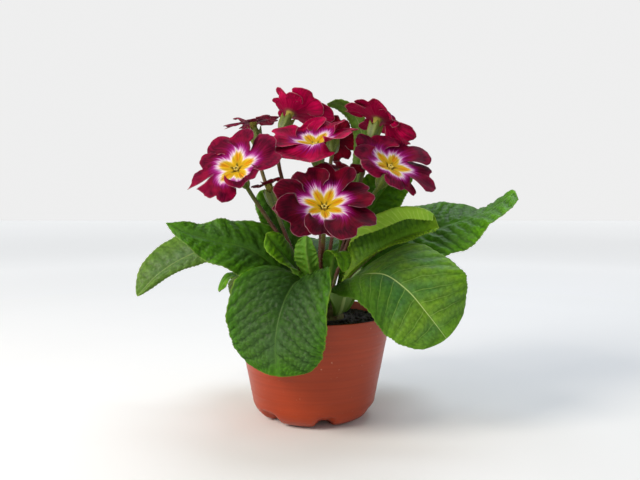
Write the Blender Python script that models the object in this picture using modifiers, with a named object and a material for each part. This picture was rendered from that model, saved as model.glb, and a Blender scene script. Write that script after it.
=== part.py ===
"""Potted primrose: a nursery pot with its soil, and the plant that stands in it.

The plant is a short crown in a hole in the soil. Leaves and flower stalks stand on the crown. Each
leaf is one waved blade on its own midrib, and each flower is a stalk with its calyx, a corolla of
notched petals round a tube, and the ring of anthers in the mouth of the tube.

Units: lengths below are in millimetres and angles in degrees, and MM turns them to metres.
The origin is the middle of the pot's base, with +Z up and the front of the plant towards -Y.
"""

import math
import random
from dataclasses import dataclass

import bmesh
import bpy
import numpy as np
from mathutils import Vector

MM = 0.001
GAP = 0.3

# Pot
RIM_RADIUS = 50.0
BASE_RADIUS = 37.3
POT_HEIGHT = 66.3
CORNER_RADIUS = 13.0
POT_WALL = 1.3
CORNER_STEPS = 5
CHANNELS = 6
CHANNEL_TURN = -77.5
CHANNEL_HEIGHT = 3.8
CHANNEL_ANGLES = (-30.0, -21.0, -13.5, -9.5, -5.0, 5.0, 9.5, 13.5, 21.0)
CHANNEL_START = 13.0
CHANNEL_FULL = 20.0
CHANNEL_FADE = (3.0, 10.0)

# Soil and crown
SOIL_MIDDLE = 64.5
SOIL_EDGE = 61.2
SOIL_STEPS = 24
CROWN_X = 4.0
CROWN_Y = -2.0
CROWN_Z = 61.0
CROWN_RADIUS = 16.0
CROWN_RISE = 12.0
CROWN_DEPTH = 9.0
CROWN_STEPS = 16

# Leaves
SPINE_STEPS = 16
VEIN_SWEEP = 0.45
TIP_START = 0.55
TIP_DROP = 3.0
STALK_HALF_WIDTH = 2.2
BLADE_THICKNESS = 0.9
STALK_THICKNESS = 2.4
TOOTH = 0.035
RELIEF = 0.35

# Flowers
LIMB_ROWS = 3
PETAL_THICKNESS = 0.65
PETAL_NOTCH = 0.14
PETAL_SHOULDER = 0.33
PETAL_WAVE = 0.06
TUBE_LENGTH = 14.0
TUBE_MOUTH = 2.1
TUBE_FOOT = 1.5
CALYX_SIDES = 10
STALK_RADIUS = 1.2
STALK_RINGS = 6
STALK_REACH = 0.35
CALYX_FOOT = 3.0
# Calyx rings from its foot to its mouth and back down inside it: height, radius on and between the
# five ribs, and how far the ribs rise into teeth.
CALYX_PROFILE = (
    (-16.0, 2.6, 2.3, 0.0),
    (-11.0, 4.7, 3.9, 0.0),
    (-6.0, 5.2, 4.4, 3.6),
    (-6.3, 4.5, 3.7, 3.2),
    (-12.0, 3.6, 3.3, 0.0),
    (-15.1, 2.5, 2.5, 0.0),
)
# Anther rings: height, and radius on and between the five anthers.
EYE_PROFILE = ((-4.0, 1.0, 1.0), (0.2, 1.6, 1.4), (1.4, 2.0, 1.1))


@dataclass
class Leaf:
    """One leaf: where it sits on the crown, the points its midrib passes, and how its blade lies.

    roll, fold, curl_left and curl_right are read along the leaf, from its stalk to its tip, and
    lean widens the blade's left side and narrows its right by that share.
    """

    name: str
    azimuth: float
    latitude: float
    points: tuple
    width: float
    lean: float = 0.0
    roll: tuple = (0.0,)
    fold: tuple = (35.0, 12.0)
    curl_left: tuple = (10.0, 35.0)
    curl_right: tuple = (10.0, 35.0)
    widening: tuple = (0.12, 0.62)
    tip: float = 0.66
    taper: float = 0.5
    ruffle: float = 1.5
    waves: float = 2.5
    phase: float = 0.0
    rows: int = 13
    columns: int = 6
    colour: tuple = (0.060, 0.150, 0.012)


@dataclass
class Petal:
    """How one petal differs: degrees off its even place, and the rest in shares of its flower's radius.

    lift raises its end and tilt its right side, and corner draws out its right outer corner, or its
    left one where it is below 0. width is a share of an even petal's.
    """

    turn: float = 0.0
    reach: float = 1.0
    lift: float = 0.0
    tilt: float = 0.08
    corner: float = 0.0
    width: float = 1.3


PLAIN_PETALS = (
    Petal(3, 1.02, 0.02, width=0.96), Petal(-2, 0.96, -0.03, width=0.96),
    Petal(2, 1.00, 0.03, width=0.96), Petal(-2, 0.98, 0.00, width=0.96),
    Petal(3, 1.03, -0.02, width=0.96),
)


@dataclass
class Flower:
    """One flower: where its stalk sits on the crown, and its face: centre, direction, size and turn.

    cup and recurve raise the limb, and bow bends the stalk.
    """

    name: str
    azimuth: float
    latitude: float
    centre: tuple
    facing: tuple
    radius: float
    turn: float
    cup: float = 0.16
    recurve: float = -0.08
    colour: tuple = (0.150, 0.003, 0.022)
    petals: tuple = PLAIN_PETALS
    bow: tuple = (0.0, 0.0, 0.0)
    columns: int = 6


OUTER = 30.0
INNER = 52.0
STALK_RING = 69.0
STALK_HEART = 82.0

DARK_LEAF = (0.030, 0.095, 0.012)
BRIGHT_LEAF = (0.070, 0.190, 0.012)
PALE_LEAF = (0.130, 0.220, 0.060)
BURGUNDY = (0.075, 0.002, 0.014)
CRIMSON = (0.230, 0.003, 0.030)
STALK_GREEN = (0.140, 0.170, 0.040)
ANTHER_YELLOW = (0.720, 0.420, 0.020)
TERRACOTTA = (0.300, 0.070, 0.033)
PEAT = (0.012, 0.009, 0.007)
CROWN_BROWN = (0.080, 0.060, 0.020)

LEAVES = (
    Leaf(
        "leaf_front_left", -112, OUTER,
        ((-4, -27, 87), (-10, -42, 91), (-17, -56, 80), (-21, -63, 62), (-21, -62, 40)),
        width=32.0, fold=(35, 30, 10, 0), widening=(0.10, 0.55), tip=0.72, taper=0.35, ruffle=1.0,
        curl_left=(10, 20, 20), curl_right=(10, 20, 20), rows=14, columns=8, colour=DARK_LEAF,
    ),
    Leaf(
        "leaf_front_right", -50, OUTER,
        ((22, -27, 90), (39, -43, 96), (53, -53, 88), (65, -59, 74), (75, -60, 61)),
        width=30.0, lean=-0.10, roll=(2, 20, 50, 54), fold=(14, 10, 4), widening=(-0.06, 0.40), tip=0.72,
        taper=0.42, ruffle=1.2, curl_left=(44, 44, 24), curl_right=(10, 4, 26), rows=14, columns=8,
    ),
    Leaf(
        "leaf_left_upper", 172, OUTER,
        ((-24, -4, 94), (-40, -8, 107), (-58, -11, 112), (-76, -12, 117), (-92, -11, 124)),
        width=21.0, roll=(-10, -42, -46, -40), fold=(25, 10, 10), widening=(0.02, 0.42), tip=0.42,
        taper=1.1, ruffle=2.2, waves=3.5, colour=DARK_LEAF,
    ),
    Leaf(
        "leaf_far_left", 148, OUTER,
        ((-24, 15, 92), (-46, 21, 104), (-68, 23, 106), (-88, 22, 99), (-105, 19, 88), (-118, 15, 74)),
        width=17.0, lean=0.42, roll=(-5, -25, -40), fold=(25, 10, 10), widening=(0.15, 0.6), tip=0.6,
        taper=0.75, curl_left=(15, 20), curl_right=(40, 90), ruffle=1.0, colour=PALE_LEAF,
    ),
    Leaf(
        "leaf_left_low", -163, OUTER,
        ((-26, -4, 76), (-42, -3, 88), (-54, -4, 89), (-61, -5, 80)),
        width=10.0, roll=(0, -20), rows=9, columns=4, ruffle=0.8, colour=BRIGHT_LEAF,
    ),
    Leaf(
        "leaf_far_right", 6, OUTER,
        ((34, 2, 90), (54, 6, 108), (76, 8, 118), (97, 8, 125), (113, 6, 131), (129, 4, 144)),
        width=24.0, roll=(10, 35, 50, 42, 6, 10), fold=(25, 10, 6), widening=(0.1, 0.5), tip=0.72,
        taper=0.36, ruffle=1.6, waves=2.5,
    ),
    Leaf(
        "leaf_right_rolled", -18, INNER,
        ((22, -5, 90), (34, -5, 102), (48, -5, 111), (63, -5, 117), (79, -6, 121)),
        width=16.5, lean=-0.35, roll=(10, 30, 38), fold=(30, 15, 15), curl_left=(10, 20, 30),
        curl_right=(-10, -80, -100), widening=(0.2, 0.6), ruffle=0.8, colour=BRIGHT_LEAF,
    ),
    Leaf(
        "leaf_right_upright", 30, INNER,
        ((21, 8, 96), (31, 13, 120), (43, 16, 140), (55, 17, 153), (65, 15, 160)),
        width=16.0, roll=(10, 50, 55), rows=11, columns=4, colour=BRIGHT_LEAF,
    ),
    Leaf(
        "leaf_left_upright", 150, INNER,
        ((-13, 12, 93), (-20, 19, 114), (-28, 23, 131), (-36, 25, 144)),
        width=13.0, roll=(-10, -35, -40), rows=11, columns=4, colour=DARK_LEAF,
    ),
    Leaf(
        "leaf_back_tall", 66, INNER,
        (
            (16, 16, 98), (24, 27, 130), (31, 38, 160), (33, 43, 181), (28, 42, 195), (18, 38, 202),
            (9, 34, 202),
        ),
        width=6.0, fold=(20, 10), rows=12, columns=4, ruffle=0.5, widening=(0.3, 0.7), tip=0.85,
        colour=PALE_LEAF,
    ),
    Leaf(
        "leaf_heart_left", -140, INNER,
        ((-9, -12, 90), (-16, -17, 102), (-23, -21, 111), (-28, -24, 118)),
        width=9.5, roll=(0, -20, -70, -95), rows=9, columns=4, ruffle=0.8, colour=BRIGHT_LEAF,
    ),
    Leaf(
        "leaf_heart_middle", -101, INNER,
        ((2, -18, 86), (-2, -24, 97), (-4, -28, 108), (-4, -30, 117)),
        width=7.5, lean=0.15, widening=(0.2, 0.7), rows=9, columns=4, ruffle=0.6, colour=BRIGHT_LEAF,
    ),
    Leaf(
        "leaf_heart_right", -73, INNER,
        ((10, -17, 91), (12, -22, 103), (15, -28, 107), (18, -34, 103), (18, -38, 96)),
        width=7.0, widening=(0.2, 0.7), rows=9, columns=4, ruffle=0.6, colour=BRIGHT_LEAF,
    ),
    Leaf(
        "leaf_back_left", 122, OUTER,
        ((-14, 26, 86), (-28, 44, 92), (-42, 60, 88), (-53, 72, 76), (-58, 78, 62)),
        width=21.0, fold=(30, 5, 0),
    ),
    Leaf(
        "leaf_back", 90, OUTER,
        ((4, 28, 94), (3, 48, 108), (1, 68, 108), (-1, 85, 96), (-2, 92, 80)),
        width=23.0, fold=(30, 5, 0), colour=DARK_LEAF,
    ),
    Leaf(
        "leaf_back_right", 52, OUTER,
        ((24, 24, 84), (38, 40, 92), (52, 55, 90), (64, 67, 79), (71, 73, 64)),
        width=22.0, fold=(30, 5, 0),
    ),
)

FLOWERS = (
    Flower(
        "front", -86, STALK_RING, (6.5, -45, 134), (0.02, -0.70, 0.71), 30.5, 15,
        cup=0.30, recurve=-0.06, columns=5, colour=BURGUNDY,
        petals=(
            Petal(-4, 0.94, width=1.5), Petal(8, 1.01, width=1.5), Petal(0, 0.88, width=1.5),
            Petal(10, 1.00, width=1.5), Petal(4, 1.05, 0.08, 0.20), Petal(-4, 0.94),
            Petal(-15, 1.12, width=1.6),
        ),
    ),
    Flower(
        "left", -150, STALK_RING, (-46, -25, 156.5), (-0.28, -0.73, 0.62), 30.5, 26,
        cup=0.20, recurve=-0.12,
        petals=(
            Petal(3, 0.98, 0.02, corner=-0.30), Petal(18, 1.02, 0.02),
            Petal(8, 0.92, -0.04, corner=-0.50, width=0.8),
            Petal(9, 0.82, -0.10, corner=0.40, width=0.9), Petal(0, 0.68, 0.10),
        ),
    ),
    Flower(
        "right", -12, STALK_RING, (47, -16, 158), (0.38, -0.55, 0.74), 30.5, 45,
        cup=0.22, recurve=-0.14, bow=(0, 5, 5),
        petals=(
            Petal(-10, 1.14, 0.04), Petal(-22, 0.96, 0.04), Petal(-20, 0.84), Petal(6, 0.78, -0.10),
            Petal(6, 1.03, -0.06, corner=0.20),
        ),
    ),
    Flower(
        "middle", -100, STALK_HEART, (1, -10, 172), (-0.12, -0.38, 0.92), 27.0, -8,
        cup=0.36, recurve=-0.08, colour=CRIMSON,
        petals=(
            Petal(4, 1.04, 0.02), Petal(12, 0.93, 0.04), Petal(-8, 1.10), Petal(-14, 1.02, 0.02),
            Petal(-18, 1.10, -0.22, width=1.7),
        ),
    ),
    Flower(
        "top_left", 115, STALK_HEART, (-16, 25, 195), (0.35, 0.45, 0.82), 24.0, 30,
        cup=0.34, recurve=-0.10, colour=CRIMSON, bow=(4, 3, 0),
        petals=(
            Petal(0, 0.62, width=1.4), Petal(8, 0.78, width=1.4), Petal(-8, 1.05), Petal(-22, 1.25),
            Petal(-8, 0.72, width=1.4),
        ),
    ),
    Flower(
        "far_left", 132, STALK_RING, (-41.5, 33, 190), (-0.15, 0.05, 0.99), 20.0, 0,
        cup=0.10, recurve=-0.10, bow=(-2, 16, 0), columns=4,
    ),
    Flower(
        "top_right", 38, STALK_RING, (41.5, 14, 190), (0.30, 0.33, 0.90), 24.5, 30,
        cup=0.25, recurve=-0.18, colour=CRIMSON, bow=(3, 8, 0),
        petals=(
            Petal(10, 0.96), Petal(2, 0.92), Petal(0, 0.66, -0.10), Petal(-16, 1.14, -0.28),
            Petal(-8, 0.92, -0.04),
        ),
    ),
    Flower(
        "back", 84, STALK_RING, (14, 52, 180), (0.10, 0.80, 0.60), 20.0, 40,
        cup=0.12, recurve=-0.10, colour=BURGUNDY, columns=4,
    ),
    Flower(
        "inner_right", 20, STALK_HEART, (18.5, 3, 157), (0.15, 0.20, 0.96), 14.5, 50,
        cup=0.15, recurve=-0.05, colour=BURGUNDY, columns=4,
    ),
    Flower(
        "inner_left", 180, STALK_RING, (-29, 0, 148), (-0.30, 0.05, 0.95), 11.0, 10,
        cup=0.15, recurve=-0.05, colour=BURGUNDY, bow=(0, 2, 0), columns=4,
    ),
)


def smooth(low, high, x):
    """A smooth step that rises from 0 at low to 1 at high."""
    t = np.clip((np.asarray(x, float) - low) / (high - low), 0.0, 1.0)
    return t * t * (3.0 - 2.0 * t)


def unit(vectors):
    """The same vectors at length 1."""
    vectors = np.asarray(vectors, float)
    return vectors / np.linalg.norm(vectors, axis=-1, keepdims=True)


def along(values, t):
    """Values given evenly along a leaf, read at t from 0 to 1."""
    count = max(len(values), 2)
    return np.interp(t, np.linspace(0.0, 1.0, count), np.resize(values, count))


def catmull_rom(points):
    """A smooth curve that passes every given point."""
    p = np.array(points, float)
    p = np.vstack([2 * p[0] - p[1], p, 2 * p[-1] - p[-2]])
    u = np.linspace(0.0, 1.0, SPINE_STEPS, endpoint=False)[:, None]
    spans = []
    for a, b, c, d in zip(p, p[1:], p[2:], p[3:]):
        bend = 2 * a - 5 * b + 4 * c - d
        spans.append(0.5 * (2 * b + (c - a) * u + bend * u**2 + (3 * b - 3 * c + d - a) * u**3))
    return np.vstack(spans + [p[-2:-1]])


def crown_seat(azimuth, latitude, clearance):
    """A point just off the crown's dome, and the dome's outward direction there."""
    a = math.radians(azimuth)
    b = math.radians(latitude)
    flat = np.array([math.cos(a), math.sin(a), 0.0])
    rise = np.array([0.0, 0.0, 1.0])
    point = np.array([CROWN_X, CROWN_Y, CROWN_Z])
    point = point + CROWN_RADIUS * math.cos(b) * flat + CROWN_RISE * math.sin(b) * rise
    out = unit(math.cos(b) / CROWN_RADIUS * flat + math.sin(b) / CROWN_RISE * rise)
    return point + clearance * out, out


class Spine:
    """A smooth curve with a frame at each point: along it, up out of the leaf, and across."""

    def __init__(self, points, up):
        self.points = catmull_rom(points)
        steps = np.linalg.norm(np.diff(self.points, axis=0), axis=1)
        self.distance = np.concatenate([[0.0], np.cumsum(steps)])
        self.length = float(self.distance[-1])
        self.tangents = unit(np.gradient(self.points, self.distance, axis=0))
        normal = np.asarray(up, float)
        normals = []
        for tangent in self.tangents:
            normal = unit(normal - tangent * (normal @ tangent))
            normals.append(normal)
        self.normals = np.array(normals)

    def at(self, s):
        """Point, tangent and normal at each distance s, straight on past the ends."""
        inside = np.clip(s, 0.0, self.length)
        read = [
            np.stack([np.interp(inside, self.distance, column) for column in table.T], axis=-1)
            for table in (self.points, self.tangents, self.normals)
        ]
        tangent = unit(read[1])
        return read[0] + (s - inside)[..., None] * tangent, tangent, unit(read[2])


def half_width(leaf, t):
    """Half the width of the blade at t along the leaf, egg-shaped and broadest towards the tip."""
    wing = STALK_HALF_WIDTH + (leaf.width - STALK_HALF_WIDTH) * smooth(*leaf.widening, t)
    past = np.clip((t - leaf.tip) / (1.0 - leaf.tip), 0.0, 1.0)
    return wing * (1.0 - past**2) ** leaf.taper


def leaf_points(leaf, t, v):
    """Places on a leaf's sheet: t runs from stalk to tip, and v from margin -1 to margin +1."""
    seat, out = crown_seat(leaf.azimuth, leaf.latitude, 2.0 * GAP)
    inward = np.array([CROWN_X, CROWN_Y, seat[2] + CROWN_RADIUS]) - seat
    spine = Spine([seat, seat + 5.0 * out, *leaf.points], inward)
    side = np.abs(v)
    tipward = smooth(TIP_START, 1.0, t)
    forward = VEIN_SWEEP * half_width(leaf, t) * (1.0 - tipward) - TIP_DROP * tipward
    width = half_width(leaf, np.clip(t + forward / spine.length, 0.0, 1.0))
    width = width * (1.0 + leaf.lean * v) * (1.0 + TOOTH * np.cos(math.pi * leaf.rows * t) * side**12)
    point, tangent, normal = spine.at(t * spine.length + forward * side**1.5)
    roll = np.radians(along(leaf.roll, t))[..., None]
    across = np.cross(tangent, normal)
    up = normal * np.cos(roll) + across * np.sin(roll)
    across = across * np.cos(roll) - normal * np.sin(roll)
    fold = np.radians(along(leaf.fold, t))
    bend = np.radians(np.where(v > 0, along(leaf.curl_left, t), along(leaf.curl_right, t)))
    bend = np.where(np.abs(bend) < 0.01, 0.01, bend)
    x = np.sign(v) * width * (np.sin(fold) - np.sin(fold - bend * side)) / bend
    h = width * (np.cos(fold - bend * side) - np.cos(fold)) / bend
    blade = smooth(0.15, 0.4, t)
    wave = np.sin(2.0 * math.pi * leaf.waves * t + leaf.phase + np.where(v < 0, 2.1, 0.0))
    quilt = np.cos(math.pi * leaf.rows * t) * smooth(0.05, 0.5, side)
    h = h + blade * (leaf.ruffle * wave * side**2.5 + RELIEF * quilt)
    return point + x[..., None] * across + h[..., None] * up


def material(name, colour, roughness, metallic=0.0):
    """A plain Principled material."""
    made = bpy.data.materials.new(name)
    made.use_nodes = True
    shader = made.node_tree.nodes["Principled BSDF"]
    shader.inputs["Base Color"].default_value = (*colour, 1.0)
    shader.inputs["Roughness"].default_value = roughness
    shader.inputs["Metallic"].default_value = metallic
    made.diffuse_color = (*colour, 1.0)
    return made


def new_object(name, mesh, collection, finish):
    """An object in the collection, with its material, shaded smooth."""
    made = bpy.data.objects.new(name, mesh)
    collection.objects.link(made)
    made.data.materials.append(finish)
    made.data.shade_smooth()
    made.data.set_sharp_from_angle(angle=math.radians(50.0))
    return made


def sheet_grid(columns, rows):
    """A flat grid with its columns along X and its rows along Y, both from -1 to 1."""
    grid = bmesh.new()
    bmesh.ops.create_grid(grid, x_segments=columns, y_segments=rows, size=1.0)
    return grid


def thicken(made, thickness, thin_share=None):
    """Give an open sheet its thickness on the lower side."""
    solid = made.modifiers.new("thickness", "SOLIDIFY")
    solid.thickness = thickness * MM
    solid.offset = -1.0
    solid.use_even_offset = False
    if thin_share is not None:
        solid.vertex_group = "thick"
        solid.thickness_vertex_group = thin_share


def make_leaf(leaf, collection):
    """A leaf: a waved sheet bent to its midrib, thickest where the midrib leaves the crown."""
    grid = sheet_grid(leaf.columns, leaf.rows)
    grid.verts.ensure_lookup_table()
    flat = np.array([vert.co for vert in grid.verts])
    t = (flat[:, 1] + 1.0) / 2.0
    v = flat[:, 0]
    for vert, place in zip(grid.verts, leaf_points(leaf, t, v)):
        vert.co = place * MM
    bmesh.ops.triangulate(grid, faces=grid.faces)
    mesh = bpy.data.meshes.new(leaf.name)
    grid.to_mesh(mesh)
    grid.free()
    made = new_object(leaf.name, mesh, collection, material(leaf.name, leaf.colour, 0.45))
    rib = made.vertex_groups.new(name="thick")
    near_rib = np.clip(1.0 - np.abs(v) / 0.7, 0.0, 1.0)
    weights = near_rib * (1.0 - smooth(0.0, 0.8, t)) + (1.0 - smooth(0.0, 0.2, t))
    for index, weight in enumerate(np.clip(weights, 0.0, 1.0)):
        rib.add([index], float(weight), "REPLACE")
    thicken(made, STALK_THICKNESS, BLADE_THICKNESS / STALK_THICKNESS)
    return made


def facing_frame(direction, turn):
    """Three directions: the first two span a flower's face, and the third is where it looks."""
    look = unit(direction)
    side = unit(np.cross([0.0, 0.0, 1.0], look) + np.array([1e-6, 0.0, 0.0]))
    up = np.cross(look, side)
    a = math.radians(turn)
    return np.array([math.cos(a) * side + math.sin(a) * up, math.cos(a) * up - math.sin(a) * side, look])


def petal_points(flower, index, u, v):
    """Places on a petal's sheet, in the flower's own frame.

    u below 0 runs down the tube to -1, and from 0 to 1 it runs out over the limb. v runs across the
    petal from its left edge -1 to its right edge 1. Neighbours share their edges over the first row of
    the limb, and lap over each other beyond it.
    """
    petal = flower.petals[index]
    phase = 2.0 * math.pi * random.Random(flower.name + str(index)).random()
    out = np.clip(u, 0.0, 1.0)
    free = smooth(1.0 / LIMB_ROWS, 0.8, out)
    outline = 1.0 - PETAL_NOTCH * np.exp(-((v / 0.18) ** 2)) - PETAL_SHOULDER * np.abs(v) ** 3.5
    outline = outline + abs(petal.corner) * np.clip(v * math.copysign(1.0, petal.corner), 0.0, 1.0) ** 4
    far = flower.radius * (1.0 + (petal.reach * outline - 1.0) * free)
    radius = TUBE_MOUTH + (far - TUBE_MOUTH) * out
    half_angle = math.pi / len(flower.petals)
    angle = 2.0 * half_angle * index + math.radians(petal.turn) * free
    angle = angle - v * half_angle * (1.0 + (petal.width - 1.0) * free)
    height = flower.cup * out**0.8 + flower.recurve * out**3
    wave = PETAL_WAVE * np.sin(3.6 * v + phase) * (1.0 - v**2)
    height = height + free * (petal.lift + wave + petal.tilt * v)
    down = np.clip(-u, 0.0, 1.0)
    radius = np.where(u < 0, TUBE_MOUTH + (TUBE_FOOT - TUBE_MOUTH) * down, radius)
    height = np.where(u < 0, -TUBE_LENGTH * down, height * flower.radius)
    return np.stack([radius * np.cos(angle), radius * np.sin(angle), height], axis=-1)


def make_corolla(flower, collection):
    """The petals, fused near the middle and running down into one closed tube."""
    frame = facing_frame(flower.facing, flower.turn)
    whole = bmesh.new()
    rows = LIMB_ROWS + 1
    for index in range(len(flower.petals)):
        grid = sheet_grid(flower.columns, rows)
        flat = np.array([vert.co for vert in grid.verts])
        row = (flat[:, 1] + 1.0) / 2.0 * rows
        u = (row - 1.0) / np.where(row < 1.0, 1.0, LIMB_ROWS)
        places = np.array(flower.centre) + petal_points(flower, index, u, flat[:, 0]) @ frame
        for vert, place in zip(grid.verts, places):
            vert.co = place * MM
        mesh = bpy.data.meshes.new("petal")
        grid.to_mesh(mesh)
        grid.free()
        whole.from_mesh(mesh)
        bpy.data.meshes.remove(mesh)
    bmesh.ops.remove_doubles(whole, verts=whole.verts, dist=0.01 * MM)
    foot = Vector((np.array(flower.centre) - TUBE_LENGTH * frame[2]) * MM)
    rim = [
        edge for edge in whole.edges
        if edge.is_boundary and all((vert.co - foot).length < 2.0 * TUBE_FOOT * MM for vert in edge.verts)
    ]
    bmesh.ops.holes_fill(whole, edges=rim, sides=0)
    bmesh.ops.triangulate(whole, faces=whole.faces)
    name = f"flower_{flower.name}_petals"
    mesh = bpy.data.meshes.new(name)
    whole.to_mesh(mesh)
    whole.free()
    made = new_object(name, mesh, collection, material(name, flower.colour, 0.55))
    thicken(made, PETAL_THICKNESS)
    return made


def loft(name, rings, collection, colour, roughness):
    """An object with a closed skin over rings of points, and a flat cap on the first and the last."""
    skin = bmesh.new()
    loops = [[skin.verts.new(place * MM) for place in ring] for ring in rings]
    for low, high in zip(loops, loops[1:]):
        for i, corner in enumerate(low):
            j = (i + 1) % len(low)
            skin.faces.new((corner, low[j], high[j], high[i]))
    skin.faces.new(loops[0][::-1])
    skin.faces.new(loops[-1])
    bmesh.ops.triangulate(skin, faces=skin.faces)
    mesh = bpy.data.meshes.new(name)
    skin.to_mesh(mesh)
    skin.free()
    return new_object(name, mesh, collection, material(name, colour, roughness))


def ring(centre, side, up, radii):
    """A ring of points round centre, with one radius for each."""
    angles = np.arange(len(radii))[:, None] * 2.0 * math.pi / len(radii)
    return centre + np.asarray(radii, float)[:, None] * (np.cos(angles) * side + np.sin(angles) * up)


def stalk_path(flower, look):
    """Points and directions along a flower stalk, from the crown to the foot of the calyx."""
    seat, out = crown_seat(flower.azimuth, flower.latitude, GAP)
    foot = np.array(flower.centre) - (TUBE_LENGTH + CALYX_FOOT) * look
    reach = STALK_REACH * np.linalg.norm(foot - seat)
    a = seat + reach * out + np.array(flower.bow)
    b = foot - reach * look + np.array(flower.bow)
    t = np.linspace(0.0, 1.0, STALK_RINGS)[:, None]
    points = (1 - t) ** 3 * seat + 3 * (1 - t) ** 2 * t * a + 3 * (1 - t) * t**2 * b + t**3 * foot
    tangents = unit(3 * (1 - t) ** 2 * (a - seat) + 6 * (1 - t) * t * (b - a) + 3 * t**2 * (foot - b))
    return points, tangents


def make_stalk(flower, collection):
    """A flower stalk that opens into its calyx: a ribbed cup with five pointed teeth."""
    frame = facing_frame(flower.facing, flower.turn + 36.0)
    look = frame[2]
    points, tangents = stalk_path(flower, look)
    rings = []
    side = frame[0]
    frames = []
    for tangent in tangents[::-1]:
        side = unit(side - tangent * (side @ tangent))
        frames.append(side)
    for point, tangent, side in zip(points, tangents, frames[::-1]):
        rings.append(ring(point, side, np.cross(tangent, side), np.full(CALYX_SIDES, STALK_RADIUS)))
    centre = np.array(flower.centre)
    tooth = np.arange(CALYX_SIDES) % 2 == 0
    for z, rib, between, lift in CALYX_PROFILE:
        raised = np.where(tooth, lift, 0.0)[:, None] * look
        rings.append(ring(centre + z * look, frame[0], frame[1], np.where(tooth, rib, between)) + raised)
    return loft(f"flower_{flower.name}_stalk", rings, collection, STALK_GREEN, 0.5)


def make_eye(flower, collection):
    """The ring of five anthers that stands in the mouth of the tube."""
    frame = facing_frame(flower.facing, flower.turn)
    centre = np.array(flower.centre)
    lobe = np.arange(CALYX_SIDES) % 2 == 0
    rings = []
    for z, peak, dip in EYE_PROFILE:
        rings.append(ring(centre + z * frame[2], frame[0], frame[1], np.where(lobe, peak, dip)))
    return loft(f"flower_{flower.name}_anthers", rings, collection, ANTHER_YELLOW, 0.6)


def turned(name, profile, steps, collection, finish, place=(0.0, 0.0, 0.0)):
    """A solid turned about Z from a profile that runs from the top of the axis down its outer side."""
    outline = bmesh.new()
    corners = [outline.verts.new((radius * MM, 0.0, height * MM)) for radius, height in profile]
    for a, b in zip(corners, corners[1:]):
        outline.edges.new((a, b))
    mesh = bpy.data.meshes.new(name)
    outline.to_mesh(mesh)
    outline.free()
    made = new_object(name, mesh, collection, finish)
    made.location = [value * MM for value in place]
    screw = made.modifiers.new("turn", "SCREW")
    screw.steps = steps
    screw.render_steps = steps
    screw.use_merge_vertices = True
    screw.merge_threshold = 0.00001
    screw.use_smooth_shade = True
    return made


def pot_side(height):
    """The outer radius of the pot's straight side at this height."""
    return BASE_RADIUS + (RIM_RADIUS - BASE_RADIUS) * height / POT_HEIGHT


def pot_profile():
    """Points on the outside of the pot, from the middle of its base out to the rim."""
    slope = math.atan2(RIM_RADIUS - BASE_RADIUS, POT_HEIGHT)
    middle = pot_side(CORNER_RADIUS) - CORNER_RADIUS / math.cos(slope)
    corner = [
        (middle + CORNER_RADIUS * math.cos(a), CORNER_RADIUS + CORNER_RADIUS * math.sin(a))
        for a in np.linspace(-math.pi / 2.0, -slope, CORNER_STEPS + 1)
    ]
    base = [(0.0, 0.0), (CHANNEL_START, 0.0), (CHANNEL_FULL, 0.0)]
    return np.array([*base, *corner, (RIM_RADIUS, POT_HEIGHT)])


def channel_lift(radius, height, angle):
    """How far a channel under the pot raises its skin; angle is measured from the channel's middle."""
    across = 1.0 - smooth(CHANNEL_ANGLES[5], CHANNEL_ANGLES[7], np.abs(angle))
    along_it = smooth(CHANNEL_START, CHANNEL_FULL, radius) * (1.0 - smooth(*CHANNEL_FADE, height))
    return CHANNEL_HEIGHT * across * along_it


def make_pot(collection):
    """A thin tapered pot with a rounded foot, moulded in one skin with six channels under its base."""
    profile = pot_profile()
    step = 360.0 / CHANNELS
    angles = [turn * step + angle for turn in range(CHANNELS) for angle in CHANNEL_ANGLES] + [
        CHANNELS * step + CHANNEL_ANGLES[0]
    ]
    grid = sheet_grid(len(angles) - 1, len(profile) - 1)
    for vert in grid.verts:
        angle = angles[round((vert.co.x + 1.0) / 2.0 * (len(angles) - 1))]
        radius, height = profile[round((vert.co.y + 1.0) / 2.0 * (len(profile) - 1))]
        from_channel = (angle + step / 2.0) % step - step / 2.0
        height = height + float(channel_lift(radius, height, from_channel))
        turn = math.radians(angle + CHANNEL_TURN)
        vert.co = Vector((radius * math.cos(turn), radius * math.sin(turn), height)) * MM
    bmesh.ops.remove_doubles(grid, verts=grid.verts, dist=0.01 * MM)
    bmesh.ops.triangulate(grid, faces=grid.faces)
    bmesh.ops.recalc_face_normals(grid, faces=grid.faces)
    mesh = bpy.data.meshes.new("pot")
    grid.to_mesh(mesh)
    grid.free()
    pot = new_object("pot", mesh, collection, material("pot", TERRACOTTA, 0.42))
    thicken(pot, POT_WALL)
    return pot


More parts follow.
